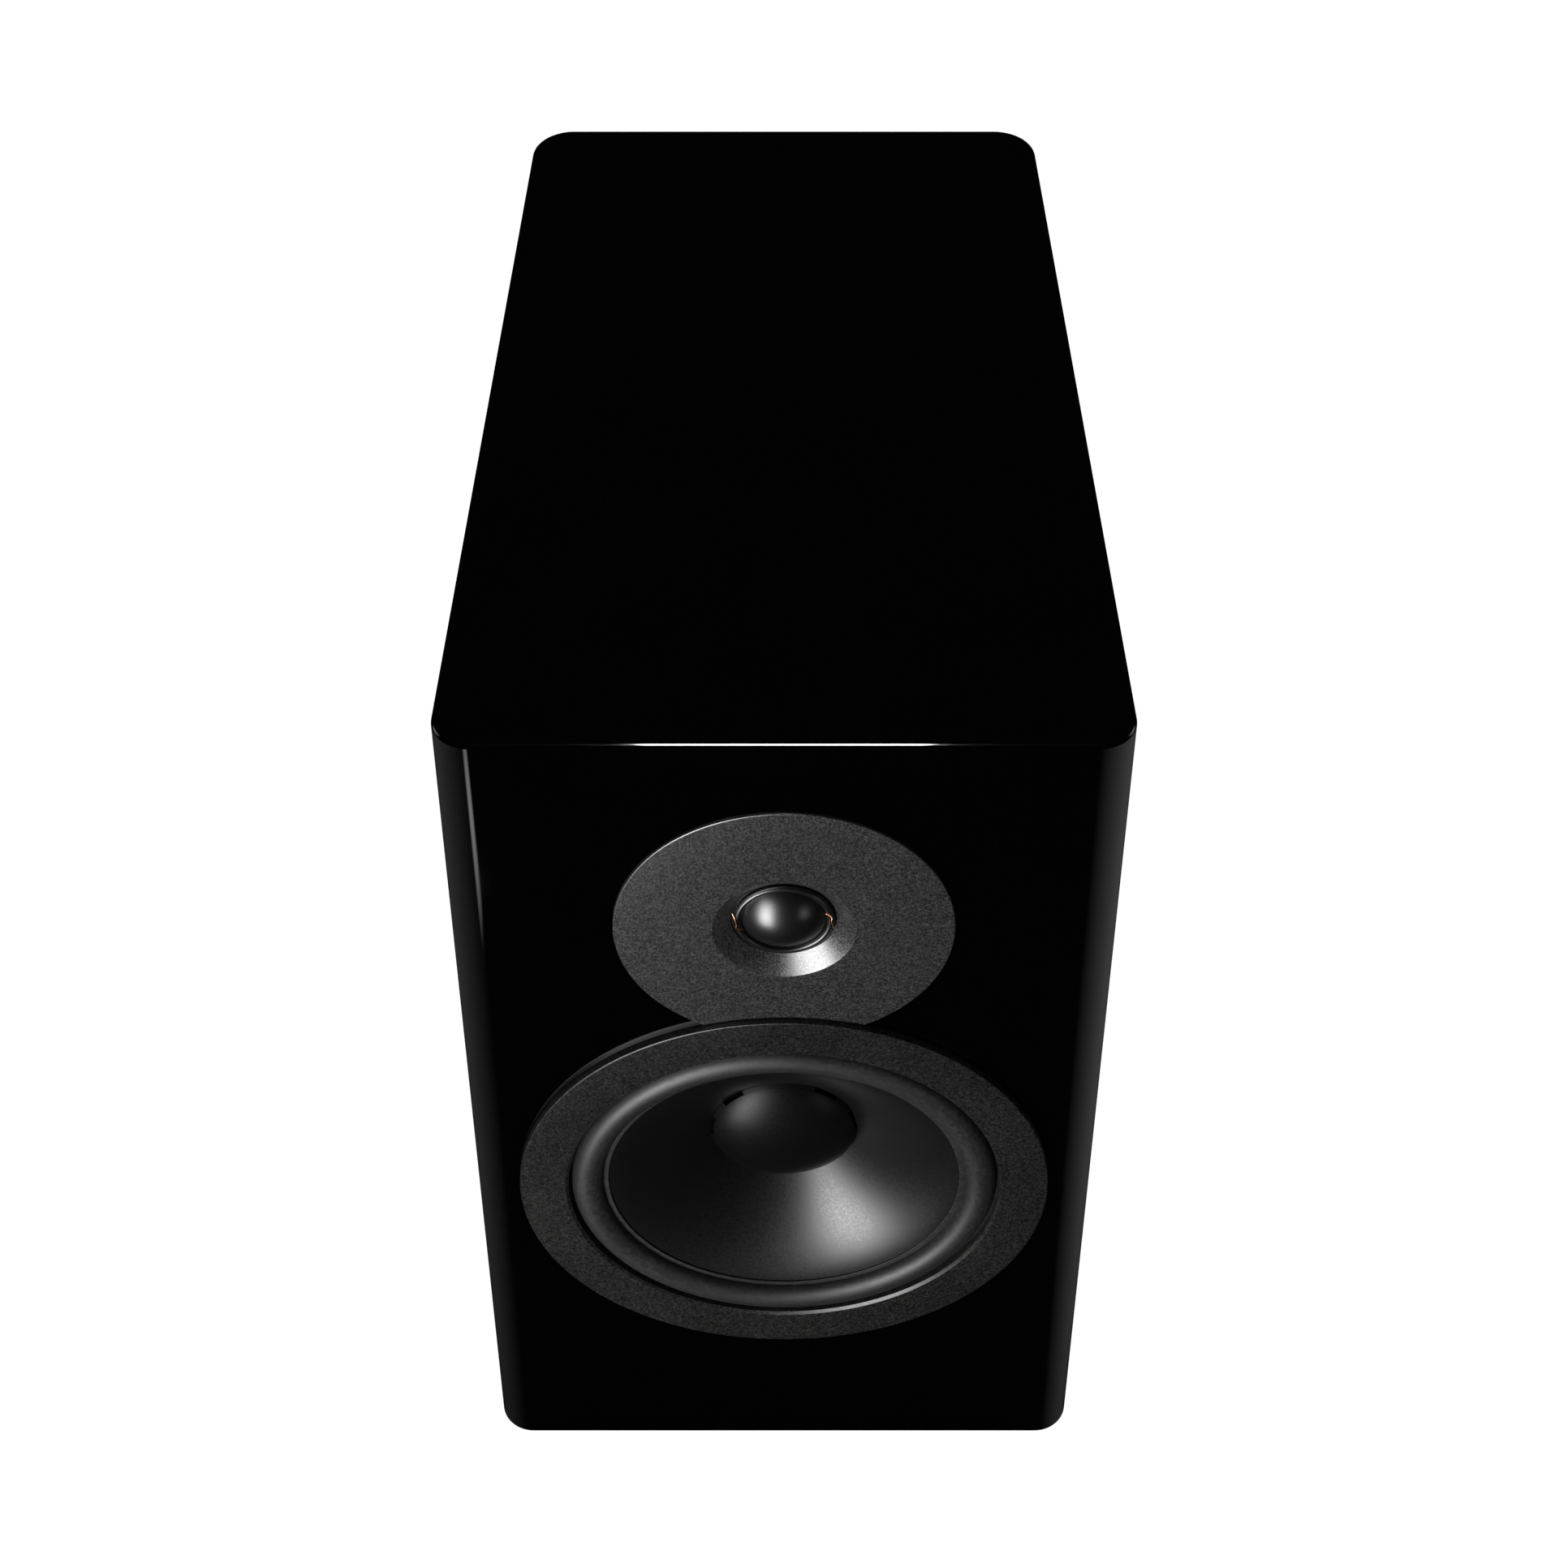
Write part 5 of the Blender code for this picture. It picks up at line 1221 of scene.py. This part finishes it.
# ---------------------------------------------------------------- back


@dataclass
class Port:
    """The reflex port: a tube with a flared mouth, flush with the back."""

    bore: float = 22 * MM
    wall: float = 2.2 * MM
    flare: float = 10 * MM
    flange: float = 2.6 * MM
    gap: float = 0.3 * MM
    lip: float = 0.6 * MM
    steps: int = 16
    origin: Vector = field(init=False)
    radius: float = field(init=False)
    length: float = field(init=False)

    def __post_init__(self) -> None:
        """Takes the tube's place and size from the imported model."""
        low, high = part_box("port_tube")
        self.origin = Vector((0.0, high.y, (low.z + high.z) / 2))
        self.radius = (high.z - low.z) / 2
        self.length = high.y - low.y

    def opening(self, back_wall: float) -> bpy.types.Mesh:
        """The flange's seat and the tube's hole in the back."""
        hole = self.bore + self.flare + self.wall + self.gap
        floor = -self.flange - self.gap
        profile = plug((self.radius + self.gap, PAST, floor), (hole, floor, -back_wall - PAST))
        return turned("port_opening", self.origin, profile, 150)

    def build(self) -> None:
        """Builds and shows the tube."""
        outer = self.bore + self.wall
        flare = []
        for step in range(self.steps + 1):
            angle = math.pi / 2 * step / self.steps
            radius = self.bore + self.flare * (1 - math.cos(angle))
            flare.append((radius, -self.flare * (1 - math.sin(angle)), 0.0))
        shoulder = self.bore + self.flare + self.wall - self.gap
        corners = [
            (self.bore, -self.length, self.lip),
            *flare,
            (self.radius, 0.0, self.lip),
            (self.radius, -self.flange, 0.0),
            (shoulder, -self.flange, 0.0),
            (shoulder, -self.flare / 2, 0.0),
            (outer, -self.flare, 0.0),
            (outer, -self.length, self.lip),
        ]
        mesh = turned("port", self.origin, softened(corners), 192)
        show("port", mesh, MOULDING, "moulding", "cabinet", "port_tube")


@dataclass
class Terminals:
    """The terminal plate with its screws and the two binding posts."""

    corner: float = 6 * MM
    gap: float = 0.3 * MM
    border: float = 12 * MM
    raised: float = 0.5 * MM
    ridge: float = 2.2 * MM
    screw_inset: float = 6 * MM
    screw_radius: float = 1.8 * MM
    head_radius: float = 3 * MM
    head: float = 1.3 * MM
    screw_length: float = 15 * MM
    bush_radius: float = 7.4 * MM
    bush: float = 4.5 * MM
    stud_radius: float = 3.2 * MM
    stud_inside: float = 16 * MM
    stud_out: float = 22 * MM
    socket_radius: float = 2.05 * MM
    socket_depth: float = 14 * MM
    pitch: float = 1 * MM
    thread_depth: float = 0.28 * MM
    washer_radius: float = 6.4 * MM
    washer: float = 1.2 * MM
    knob_radius: float = 7.6 * MM
    flutes: int = 12
    flute: float = 1.1 * MM
    knob: float = 17 * MM
    low: Vector = field(init=False)
    high: Vector = field(init=False)
    centre: Vector = field(init=False)

    def __post_init__(self) -> None:
        """Takes the plate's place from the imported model."""
        self.low, self.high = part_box("terminal_plate")
        self.centre = (self.low + self.high) / 2

    def rectangle(self, inset: float) -> list[Point]:
        """The plate's outline about its middle, moved inwards by an inset."""
        x, z = (self.high.x - self.low.x) / 2 - inset, (self.high.z - self.low.z) / 2 - inset
        radius = max(self.corner - inset, MM)
        return softened([(x, z, radius), (-x, z, radius), (-x, -z, radius), (x, -z, radius)], 12)

    def openings(self, back_wall: float) -> list[bpy.types.Mesh]:
        """The plate's recess, and the hole behind it."""
        origin = Vector((self.centre.x, self.low.y, self.centre.z))
        recess = [upright(self.rectangle(-self.gap), origin, depth) for depth in (-self.gap, 10 * MM)]
        hole = [upright(self.rectangle(self.border), origin, depth) for depth in (-back_wall, 1 * MM)]
        return [rolled("recess", recess, closed_rows=False), rolled("wire_hole", hole, closed_rows=False)]

    def corner_places(self) -> tuple[float, float]:
        """How far apart the four screws are, across and up."""
        size = self.high - self.low
        return size.x - 2 * self.screw_inset, size.z - 2 * self.screw_inset

    def plate(self) -> None:
        """The plate, with a raised border and holes for its screws and studs."""
        origin = Vector((self.centre.x, self.low.y, self.centre.z))
        thick = self.high.y - self.low.y
        rows = [
            (0.0, 0.0),
            (0.0, thick - 0.5 * MM),
            (0.2 * MM, thick - 0.15 * MM),
            (0.5 * MM, thick),
            (self.ridge - 0.8 * MM, thick),
            (self.ridge - 0.4 * MM, thick - 0.1 * MM),
            (self.ridge, thick - self.raised),
        ]
        outlines = [upright(self.rectangle(inset), origin, depth) for inset, depth in rows]
        body = rolled("plate", outlines, closed_rows=False)
        across, up = self.corner_places()
        screw, stud = self.screw_radius + self.gap, self.stud_radius + self.gap
        places = [(x * across / 2, z * up / 2, screw) for x in (-1, 1) for z in (-1, 1)]
        places += [(middle(f"post_stud_{colour}").x, 0.0, stud) for colour in ("red", "black")]
        holes = []
        for x, z, radius in places:
            profile = plug((radius, -PAST, thick + PAST))
            holes.append(turned("hole", origin + Vector((x, 0.0, z)), profile, 50))
        mesh = cut("connection_plate", body, holes)
        show("connection_plate", mesh, MOULDING, "moulding", "cabinet", "terminal_plate")

    def screws(self) -> None:
        """Four cross-head screws, each turned to its own angle."""
        profile = [
            (0.0, self.head, 0.0),
            (0.55 * self.head_radius, self.head, 0.5 * MM),
            (self.head_radius, 0.45 * self.head, 0.25 * MM),
            (self.head_radius, 0.0, 0.0),
            (self.screw_radius, 0.0, 0.0),
            (self.screw_radius, self.screw_radius - self.screw_length, 0.0),
            (0.0, -self.screw_length, 0.0),
        ]
        head = turned("screw", Vector(), softened(profile), SMALL_AROUND)
        slots = []
        for x, z in ((1.75, 0.35), (0.35, 1.75)):
            outline = [(x * MM, z * MM), (-x * MM, z * MM), (-x * MM, -z * MM), (x * MM, -z * MM)]
            tip = [(0.3 * a, 0.3 * b) for a, b in outline]
            rows = [upright(tip, Vector(), -0.6 * MM), upright(outline, Vector(), self.head + 0.3 * MM)]
            slots.append(rolled("cross", rows, closed_rows=False))
        piece = empty_object("screw_pattern", cut("screw_pattern", head, slots))
        across, up = self.corner_places()
        face = Vector((self.centre.x, self.high.y, self.centre.z))
        mesh = corner_rule().mesh(BLACK_OXIDE, Piece=piece, Width=across, Height=up, Centre=face)
        bpy.data.objects.remove(piece)
        nodes = [f"terminal_screw_{number}" for number in range(1, 5)]
        show("plate_screws", mesh, BLACK_OXIDE, "screw_steel", "cabinet", *nodes)

    def post(self, colour: str, grip: Finish, ring: Finish, threads: Rule) -> None:
        """One binding post.

        Args:
            colour: which of the two it is.
            grip: the knob's finish.
            ring: the finish of the bush.
            threads: the tree that winds the thread.
        """
        axis = Vector((middle(f"post_stud_{colour}").x, self.high.y, middle(f"post_stud_{colour}").z))
        hole = self.stud_radius + self.gap
        fine = 0.3 * MM
        foot, top = self.gap - self.raised, self.gap + self.bush
        bush = [(hole, foot, 0.0), (hole, top, fine)]
        bush += [(self.bush_radius, top, 2 * fine), (self.bush_radius, foot, 0.0)]
        mesh = turned("bush", axis, softened(bush), SMALL_AROUND)
        show(f"bush_{colour}", mesh, ring, "moulding", "cabinet", f"post_bush_{colour}")
        root = self.stud_radius - self.thread_depth
        stud = [
            (0.0, -self.stud_inside, 0.0),
            (root, -self.stud_inside, fine),
            (root, self.stud_out, fine),
            (self.socket_radius, self.stud_out, fine / 2),
            (self.socket_radius, self.stud_out - self.socket_depth, 0.0),
            (0.0, self.stud_out - self.socket_depth, 0.0),
        ]
        core = turned("stud", axis, softened(stud), SMALL_AROUND)
        length = self.stud_out - self.bush - 2 * MM
        ridge = threads.mesh(
            GILT, Radius=root, Pitch=self.pitch, Length=length, Depth=self.thread_depth, Steps=32,
            Start=axis + Vector((0.0, self.bush + MM, 0.0)),
        )
        mesh = joined("stud", [core, ridge])
        show(f"stud_{colour}", mesh, GILT, "gilt", "cabinet", f"post_stud_{colour}")
        start = self.bush + 2 * self.gap
        washer = band(hole, self.washer_radius, start, start + self.washer, fine / 2, fine / 2)
        mesh = turned("washer", axis, washer, SMALL_AROUND)
        show(f"washer_{colour}", mesh, GILT, "gilt", f"clamp_{colour}", f"post_washer_{colour}")
        self.grip(colour, axis, start + self.washer + self.gap, hole, grip)

    def grip(self, colour: str, axis: Vector, start: float, hole: float, finish: Finish) -> None:
        """A fluted grip with a plain collar, rounded ends and a bore.

        Args:
            colour: which of the two posts it is on.
            axis: where the post leaves the plate.
            start: the knob's near end, from the plate.
            hole: the bore's radius.
            finish: what it is dressed in.
        """
        steps = 12 * self.flutes
        corners = [
            (hole, start, 0.2 * MM),
            (self.knob_radius, start, 0.5 * MM),
            (self.knob_radius, start + self.knob, 1.3 * MM),
            (hole, start + self.knob, 0.3 * MM),
        ]
        collar, fade = start + 3 * MM, 1.2 * MM
        section = softened(corners)
        body = [index for index, point in enumerate(section) if point[0] > self.knob_radius - 0.01 * MM]
        extra = [(self.knob_radius, collar + fade * share) for share in (0.0, 0.25, 0.5, 0.75, 1.0)]
        section = section[: body[0] + 1] + extra + section[body[0] + 1 :]
        rows = []
        for radius, depth in section:
            strength = min(max((depth - collar) / fade, 0.0), 1.0)
            strength *= min(max((radius - hole) / MM - 0.5, 0.0), 1.0)
            row = []
            for step in range(steps):
                angle = math.tau * step / steps
                groove = max(0.0, math.cos(self.flutes * angle)) ** 0.8
                size = radius - self.flute * groove * strength
                row.append((size * math.cos(angle), size * math.sin(angle)))
            rows.append(upright(row, axis, depth))
        mesh = rolled("knob", rows)
        show(f"knob_{colour}", mesh, finish, f"{colour}_cap", f"knob_{colour}", f"post_knob_{colour}")

    def build(self) -> None:
        """Builds and shows the plate, its screws and the two posts."""
        self.plate()
        self.screws()
        threads = thread_rule()
        self.post("red", RED_CAP, RED_RING, threads)
        self.post("black", BLACK_CAP, MOULDING, threads)


# ---------------------------------------------------------------- inside


class Inside:
    """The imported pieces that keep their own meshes: motors, basket, coils, crossover, wiring and padding."""

    slots: dict[str, Finish] = {
        "lacquered_board": LACQUER,
        "raw_board": RAW_BOARD,
        "foam": FOAM,
        "textured_paint": TEXTURED_PAINT,
        "black_casting": BLACK_CASTING,
        "surround_rubber": RUBBER,
        "cone_polymer": CONE_POLYMER,
        "cap_polymer": CAP_POLYMER,
        "coil": FORMER,
        "spider_cloth": SPIDER_CLOTH,
        "steel": ZINC,
        "ferrite": FERRITE,
        "screw_steel": BLACK_OXIDE,
        "silk": SILK,
        "copper": WINDING,
        "moulding": MOULDING,
        "gilt": GILT,
        "red_cap": RED_CAP,
        "black_cap": BLACK_CAP,
        "film": FILM,
        "cement": CEMENT,
        "insulation": INSULATION,
    }

    def dress(self) -> None:
        """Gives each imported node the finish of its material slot."""
        for part in frame["record"]["subparts"]:
            node = frame["nodes"][part["node"]]
            node.data.materials.clear()
            node.data.materials.append(self.slots[part["material_slot"]].build())
        LOG.info("dressed %d packed nodes", len(frame["nodes"]))


# ---------------------------------------------------------------- studio


class Reach(Enum):
    """Which rays a light answers."""

    ALL = "all"
    SHEEN = "sheen"
    WASH = "wash"


class Falls(Enum):
    """Which pieces a light falls on."""

    EVERYTHING = "everything"
    CABINET = "cabinet"
    FITTINGS = "fittings"
    CONE = "cone"
    FRONT_TRIM = "front_trim"


FRONT_TRIM = ("trim_ring", "faceplate")


def receivers(falls: Falls) -> bpy.types.Collection | None:
    """The pieces that a light falls on.

    Args:
        falls: which pieces they are.

    Returns:
        A collection of them, built once, or None for all of them.
    """
    if falls is Falls.EVERYTHING:
        return None
    name = f"lit_{falls.value}"
    if name in bpy.data.collections:
        return bpy.data.collections[name]
    lit = bpy.data.collections.new(name)
    for thing in bpy.data.objects:
        if thing.type != "MESH":
            continue
        of_cabinet = thing.name == "cabinet_shell"
        of_cone = thing.name == "cone"
        wanted = {
            Falls.CABINET: of_cabinet,
            Falls.FITTINGS: not of_cabinet and not of_cone,
            Falls.CONE: of_cone,
            Falls.FRONT_TRIM: thing.name in FRONT_TRIM,
        }
        if wanted[falls]:
            lit.objects.link(thing)
    return lit


@dataclass(frozen=True)
class Softbox:
    """A flat light that faces a point."""

    name: str
    place: tuple[float, float, float]
    target: tuple[float, float, float]
    width: float
    height: float
    radiance: float
    reach: Reach = Reach.ALL
    falls: Falls = Falls.EVERYTHING
    fades: bool = False

    def fade(self, light: bpy.types.Light) -> None:
        """Lets the glow fall off from the middle of the cloth to its edges.

        Args:
            light: the area light to change.
        """
        light.use_nodes = True
        graph = Graph(light.node_tree)
        place = graph.add("ShaderNodeNewGeometry").outputs["Parametric"]
        across = graph.add("ShaderNodeSeparateXYZ", {0: place}).outputs
        swells = [graph.math("SINE", graph.math("MULTIPLY", across[axis], math.pi)) for axis in ("X", "Y")]
        graph.feed(light.node_tree.nodes["Emission"].inputs["Strength"], graph.math("MULTIPLY", *swells))

    def build(self) -> None:
        """Hangs the light."""
        light = bpy.data.lights.new(self.name, "AREA")
        light.shape = "RECTANGLE"
        light.size, light.size_y = self.width, self.height
        light.energy = 4 * self.width * self.height * self.radiance
        if self.fades:
            self.fade(light)
        made = bpy.data.objects.new(self.name, light)
        made.location = self.place
        aim = Vector(self.target) - made.location
        made.rotation_euler = aim.to_track_quat("-Z", "Y").to_euler()
        made.visible_camera = False
        made.visible_diffuse = self.reach is not Reach.SHEEN
        made.visible_glossy = self.reach is not Reach.WASH
        lit = receivers(self.falls)
        if lit:
            made.light_linking.receiver_collection = lit
        bpy.context.scene.collection.objects.link(made)


@dataclass
class Studio:
    """A white floor, soft light and a lens that looks down on the loudspeaker's front."""

    lens: float = 79.453
    sensor: float = 36.0
    tilt: float = math.radians(43.062)
    stand_off: float = 0.59962
    eye_height: float = 0.94278
    floor_size: float = 8.0
    softboxes: tuple[Softbox, ...] = (
        Softbox(
            "key", (-0.35, -0.70, 0.08), (0.0, -0.13, 0.08), 0.36, 0.80, 24.0,
            Reach.ALL, Falls.FITTINGS, fades=True,
        ),
        Softbox(
            "cone_key", (-0.30, -0.68, 0.12), (0.0, -0.13, 0.1), 0.34, 0.44, 24.0,
            Reach.ALL, Falls.CONE, fades=True,
        ),
        Softbox(
            "edge", (-0.5, -0.75, 0.5), (0.0, -0.13, 0.2), 0.7, 0.6, 50.0,
            Reach.SHEEN, Falls.FRONT_TRIM,
        ),
        Softbox(
            "fill", (0.42, -0.72, 0.12), (0.0, -0.13, 0.2), 0.2, 0.34, 2.4,
            Reach.ALL, Falls.FITTINGS, fades=True,
        ),
        Softbox(
            "overhead", (0.0, 0.1, 1.5), (0.0, 0.0, 0.2), 1.0, 1.0, 1.2,
            Reach.WASH,
        ),
        Softbox(
            "rim_line", (0.0, -0.27, 1.2), (0.0, -0.27, 0.0), 0.15, 0.65, 45.0,
            Reach.SHEEN, Falls.CABINET,
        ),
        Softbox(
            "left_glow", (-0.70, -0.2, -0.35), (-0.70, -0.2, 1.0), 1.0, 1.7, 0.1,
            Reach.SHEEN, Falls.CABINET, fades=True,
        ),
        Softbox(
            "right_glow", (0.70, -0.2, -0.35), (0.70, -0.2, 1.0), 1.0, 1.7, 0.2,
            Reach.SHEEN, Falls.CABINET, fades=True,
        ),
        Softbox(
            "glint", (-0.25, -0.69, -0.34), (-0.2, -0.6, 1.0), 0.16, 0.16, 2.2,
            Reach.SHEEN, Falls.CABINET, fades=True,
        ),
        Softbox(
            "left_wall", (-1.6, 0.3, 0.7), (0.0, 0.0, 0.2), 0.9, 1.3, 1.6,
            Reach.SHEEN, Falls.EVERYTHING, fades=True,
        ),
        Softbox(
            "right_wall", (1.6, 0.3, 0.7), (0.0, 0.0, 0.2), 0.9, 1.3, 1.6,
            Reach.SHEEN, Falls.EVERYTHING, fades=True,
        ),
        Softbox(
            "back_key", (0.7, 1.3, 0.7), (0.0, 0.13, 0.15), 0.7, 0.9, 5.0,
            Reach.ALL, Falls.FITTINGS,
        ),
        Softbox(
            "back_fill", (-0.9, 1.2, 0.5), (0.0, 0.13, 0.15), 0.6, 0.8, 1.6,
            Reach.ALL, Falls.FITTINGS,
        ),
    )

    def camera(self) -> None:
        """The lens, level across and tilted down."""
        data = bpy.data.cameras.new("lens")
        data.lens = self.lens
        data.sensor_width = self.sensor
        made = bpy.data.objects.new("lens", data)
        made.location = (0.0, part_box("front_baffle")[0].y - self.stand_off, self.eye_height)
        made.rotation_euler = (self.tilt, 0.0, 0.0)
        bpy.context.scene.collection.objects.link(made)
        bpy.context.scene.camera = made

    def floor(self) -> None:
        """A matt white floor that takes a faint shadow."""
        bm = bmesh.new()
        bmesh.ops.create_grid(bm, x_segments=8, y_segments=8, size=self.floor_size / 2)
        mesh = bpy.data.meshes.new("floor")
        bm.to_mesh(mesh)
        bm.free()
        mesh.transform(Matrix.Translation((0.0, 0.0, -0.2 * MM)))
        material = bpy.data.materials.new("white_sweep")
        material.use_nodes = True
        graph = Graph(material.node_tree)
        material.node_tree.nodes.remove(material.node_tree.nodes["Principled BSDF"])
        matt = graph.add("ShaderNodeBsdfDiffuse", {"Color": (0.8, 0.8, 0.8, 1.0)}).outputs[0]
        bright = graph.add("ShaderNodeEmission", {"Color": (1.0, 1.0, 1.0, 1.0), "Strength": 1.03}).outputs[0]
        seen = graph.add("ShaderNodeLightPath").outputs["Is Camera Ray"]
        share = graph.math("MULTIPLY", seen, 0.96)
        mixed = graph.add("ShaderNodeMixShader", {0: share, 1: matt, 2: bright}).outputs[0]
        graph.feed(material.node_tree.nodes["Material Output"].inputs["Surface"], mixed)
        mesh.materials.append(material)
        made = empty_object("floor", mesh)
        made.visible_glossy = False
        made.visible_shadow = False

    def air(self) -> None:
        """White to the lens, soft grey on matt surfaces and nearly black in gloss."""
        world = bpy.data.worlds.new("air")
        world.use_nodes = True
        bpy.context.scene.world = world
        graph = Graph(world.node_tree)
        path = graph.add("ShaderNodeLightPath").outputs
        soft = graph.math("MULTIPLY", path["Is Diffuse Ray"], 0.35)
        strength = graph.math("ADD", graph.math("ADD", path["Is Camera Ray"], soft), 0.004)
        graph.feed(world.node_tree.nodes["Background"].inputs["Strength"], strength)
        world.node_tree.nodes["Background"].inputs["Color"].default_value = (1.0, 1.0, 1.0, 1.0)

    def build(self) -> None:
        """Sets the whole studio up."""
        self.floor()
        self.air()
        for softbox in self.softboxes:
            softbox.build()
        self.camera()
        bpy.context.scene.view_settings.view_transform = "Standard"
        LOG.info("studio with %d lights", len(self.softboxes))


def main() -> None:
    """Builds the loudspeaker piece by piece, then the studio."""
    logging.basicConfig(level=logging.INFO, format="%(name)s: %(message)s")
    Inside().dress()
    cabinet = Cabinet()
    woofer = Woofer()
    tweeter = Tweeter(woofer)
    port = Port()
    terminals = Terminals()
    openings = [woofer.opening(cabinet.front_wall), *tweeter.openings(cabinet.front_wall)]
    openings += [port.opening(cabinet.back_wall), *terminals.openings(cabinet.back_wall)]
    cabinet.build(openings)
    shells = shell_rule()
    woofer.build(shells)
    tweeter.build(shells)
    port.build()
    terminals.build()
    Studio().build()


if __name__ == "__main__":
    main()
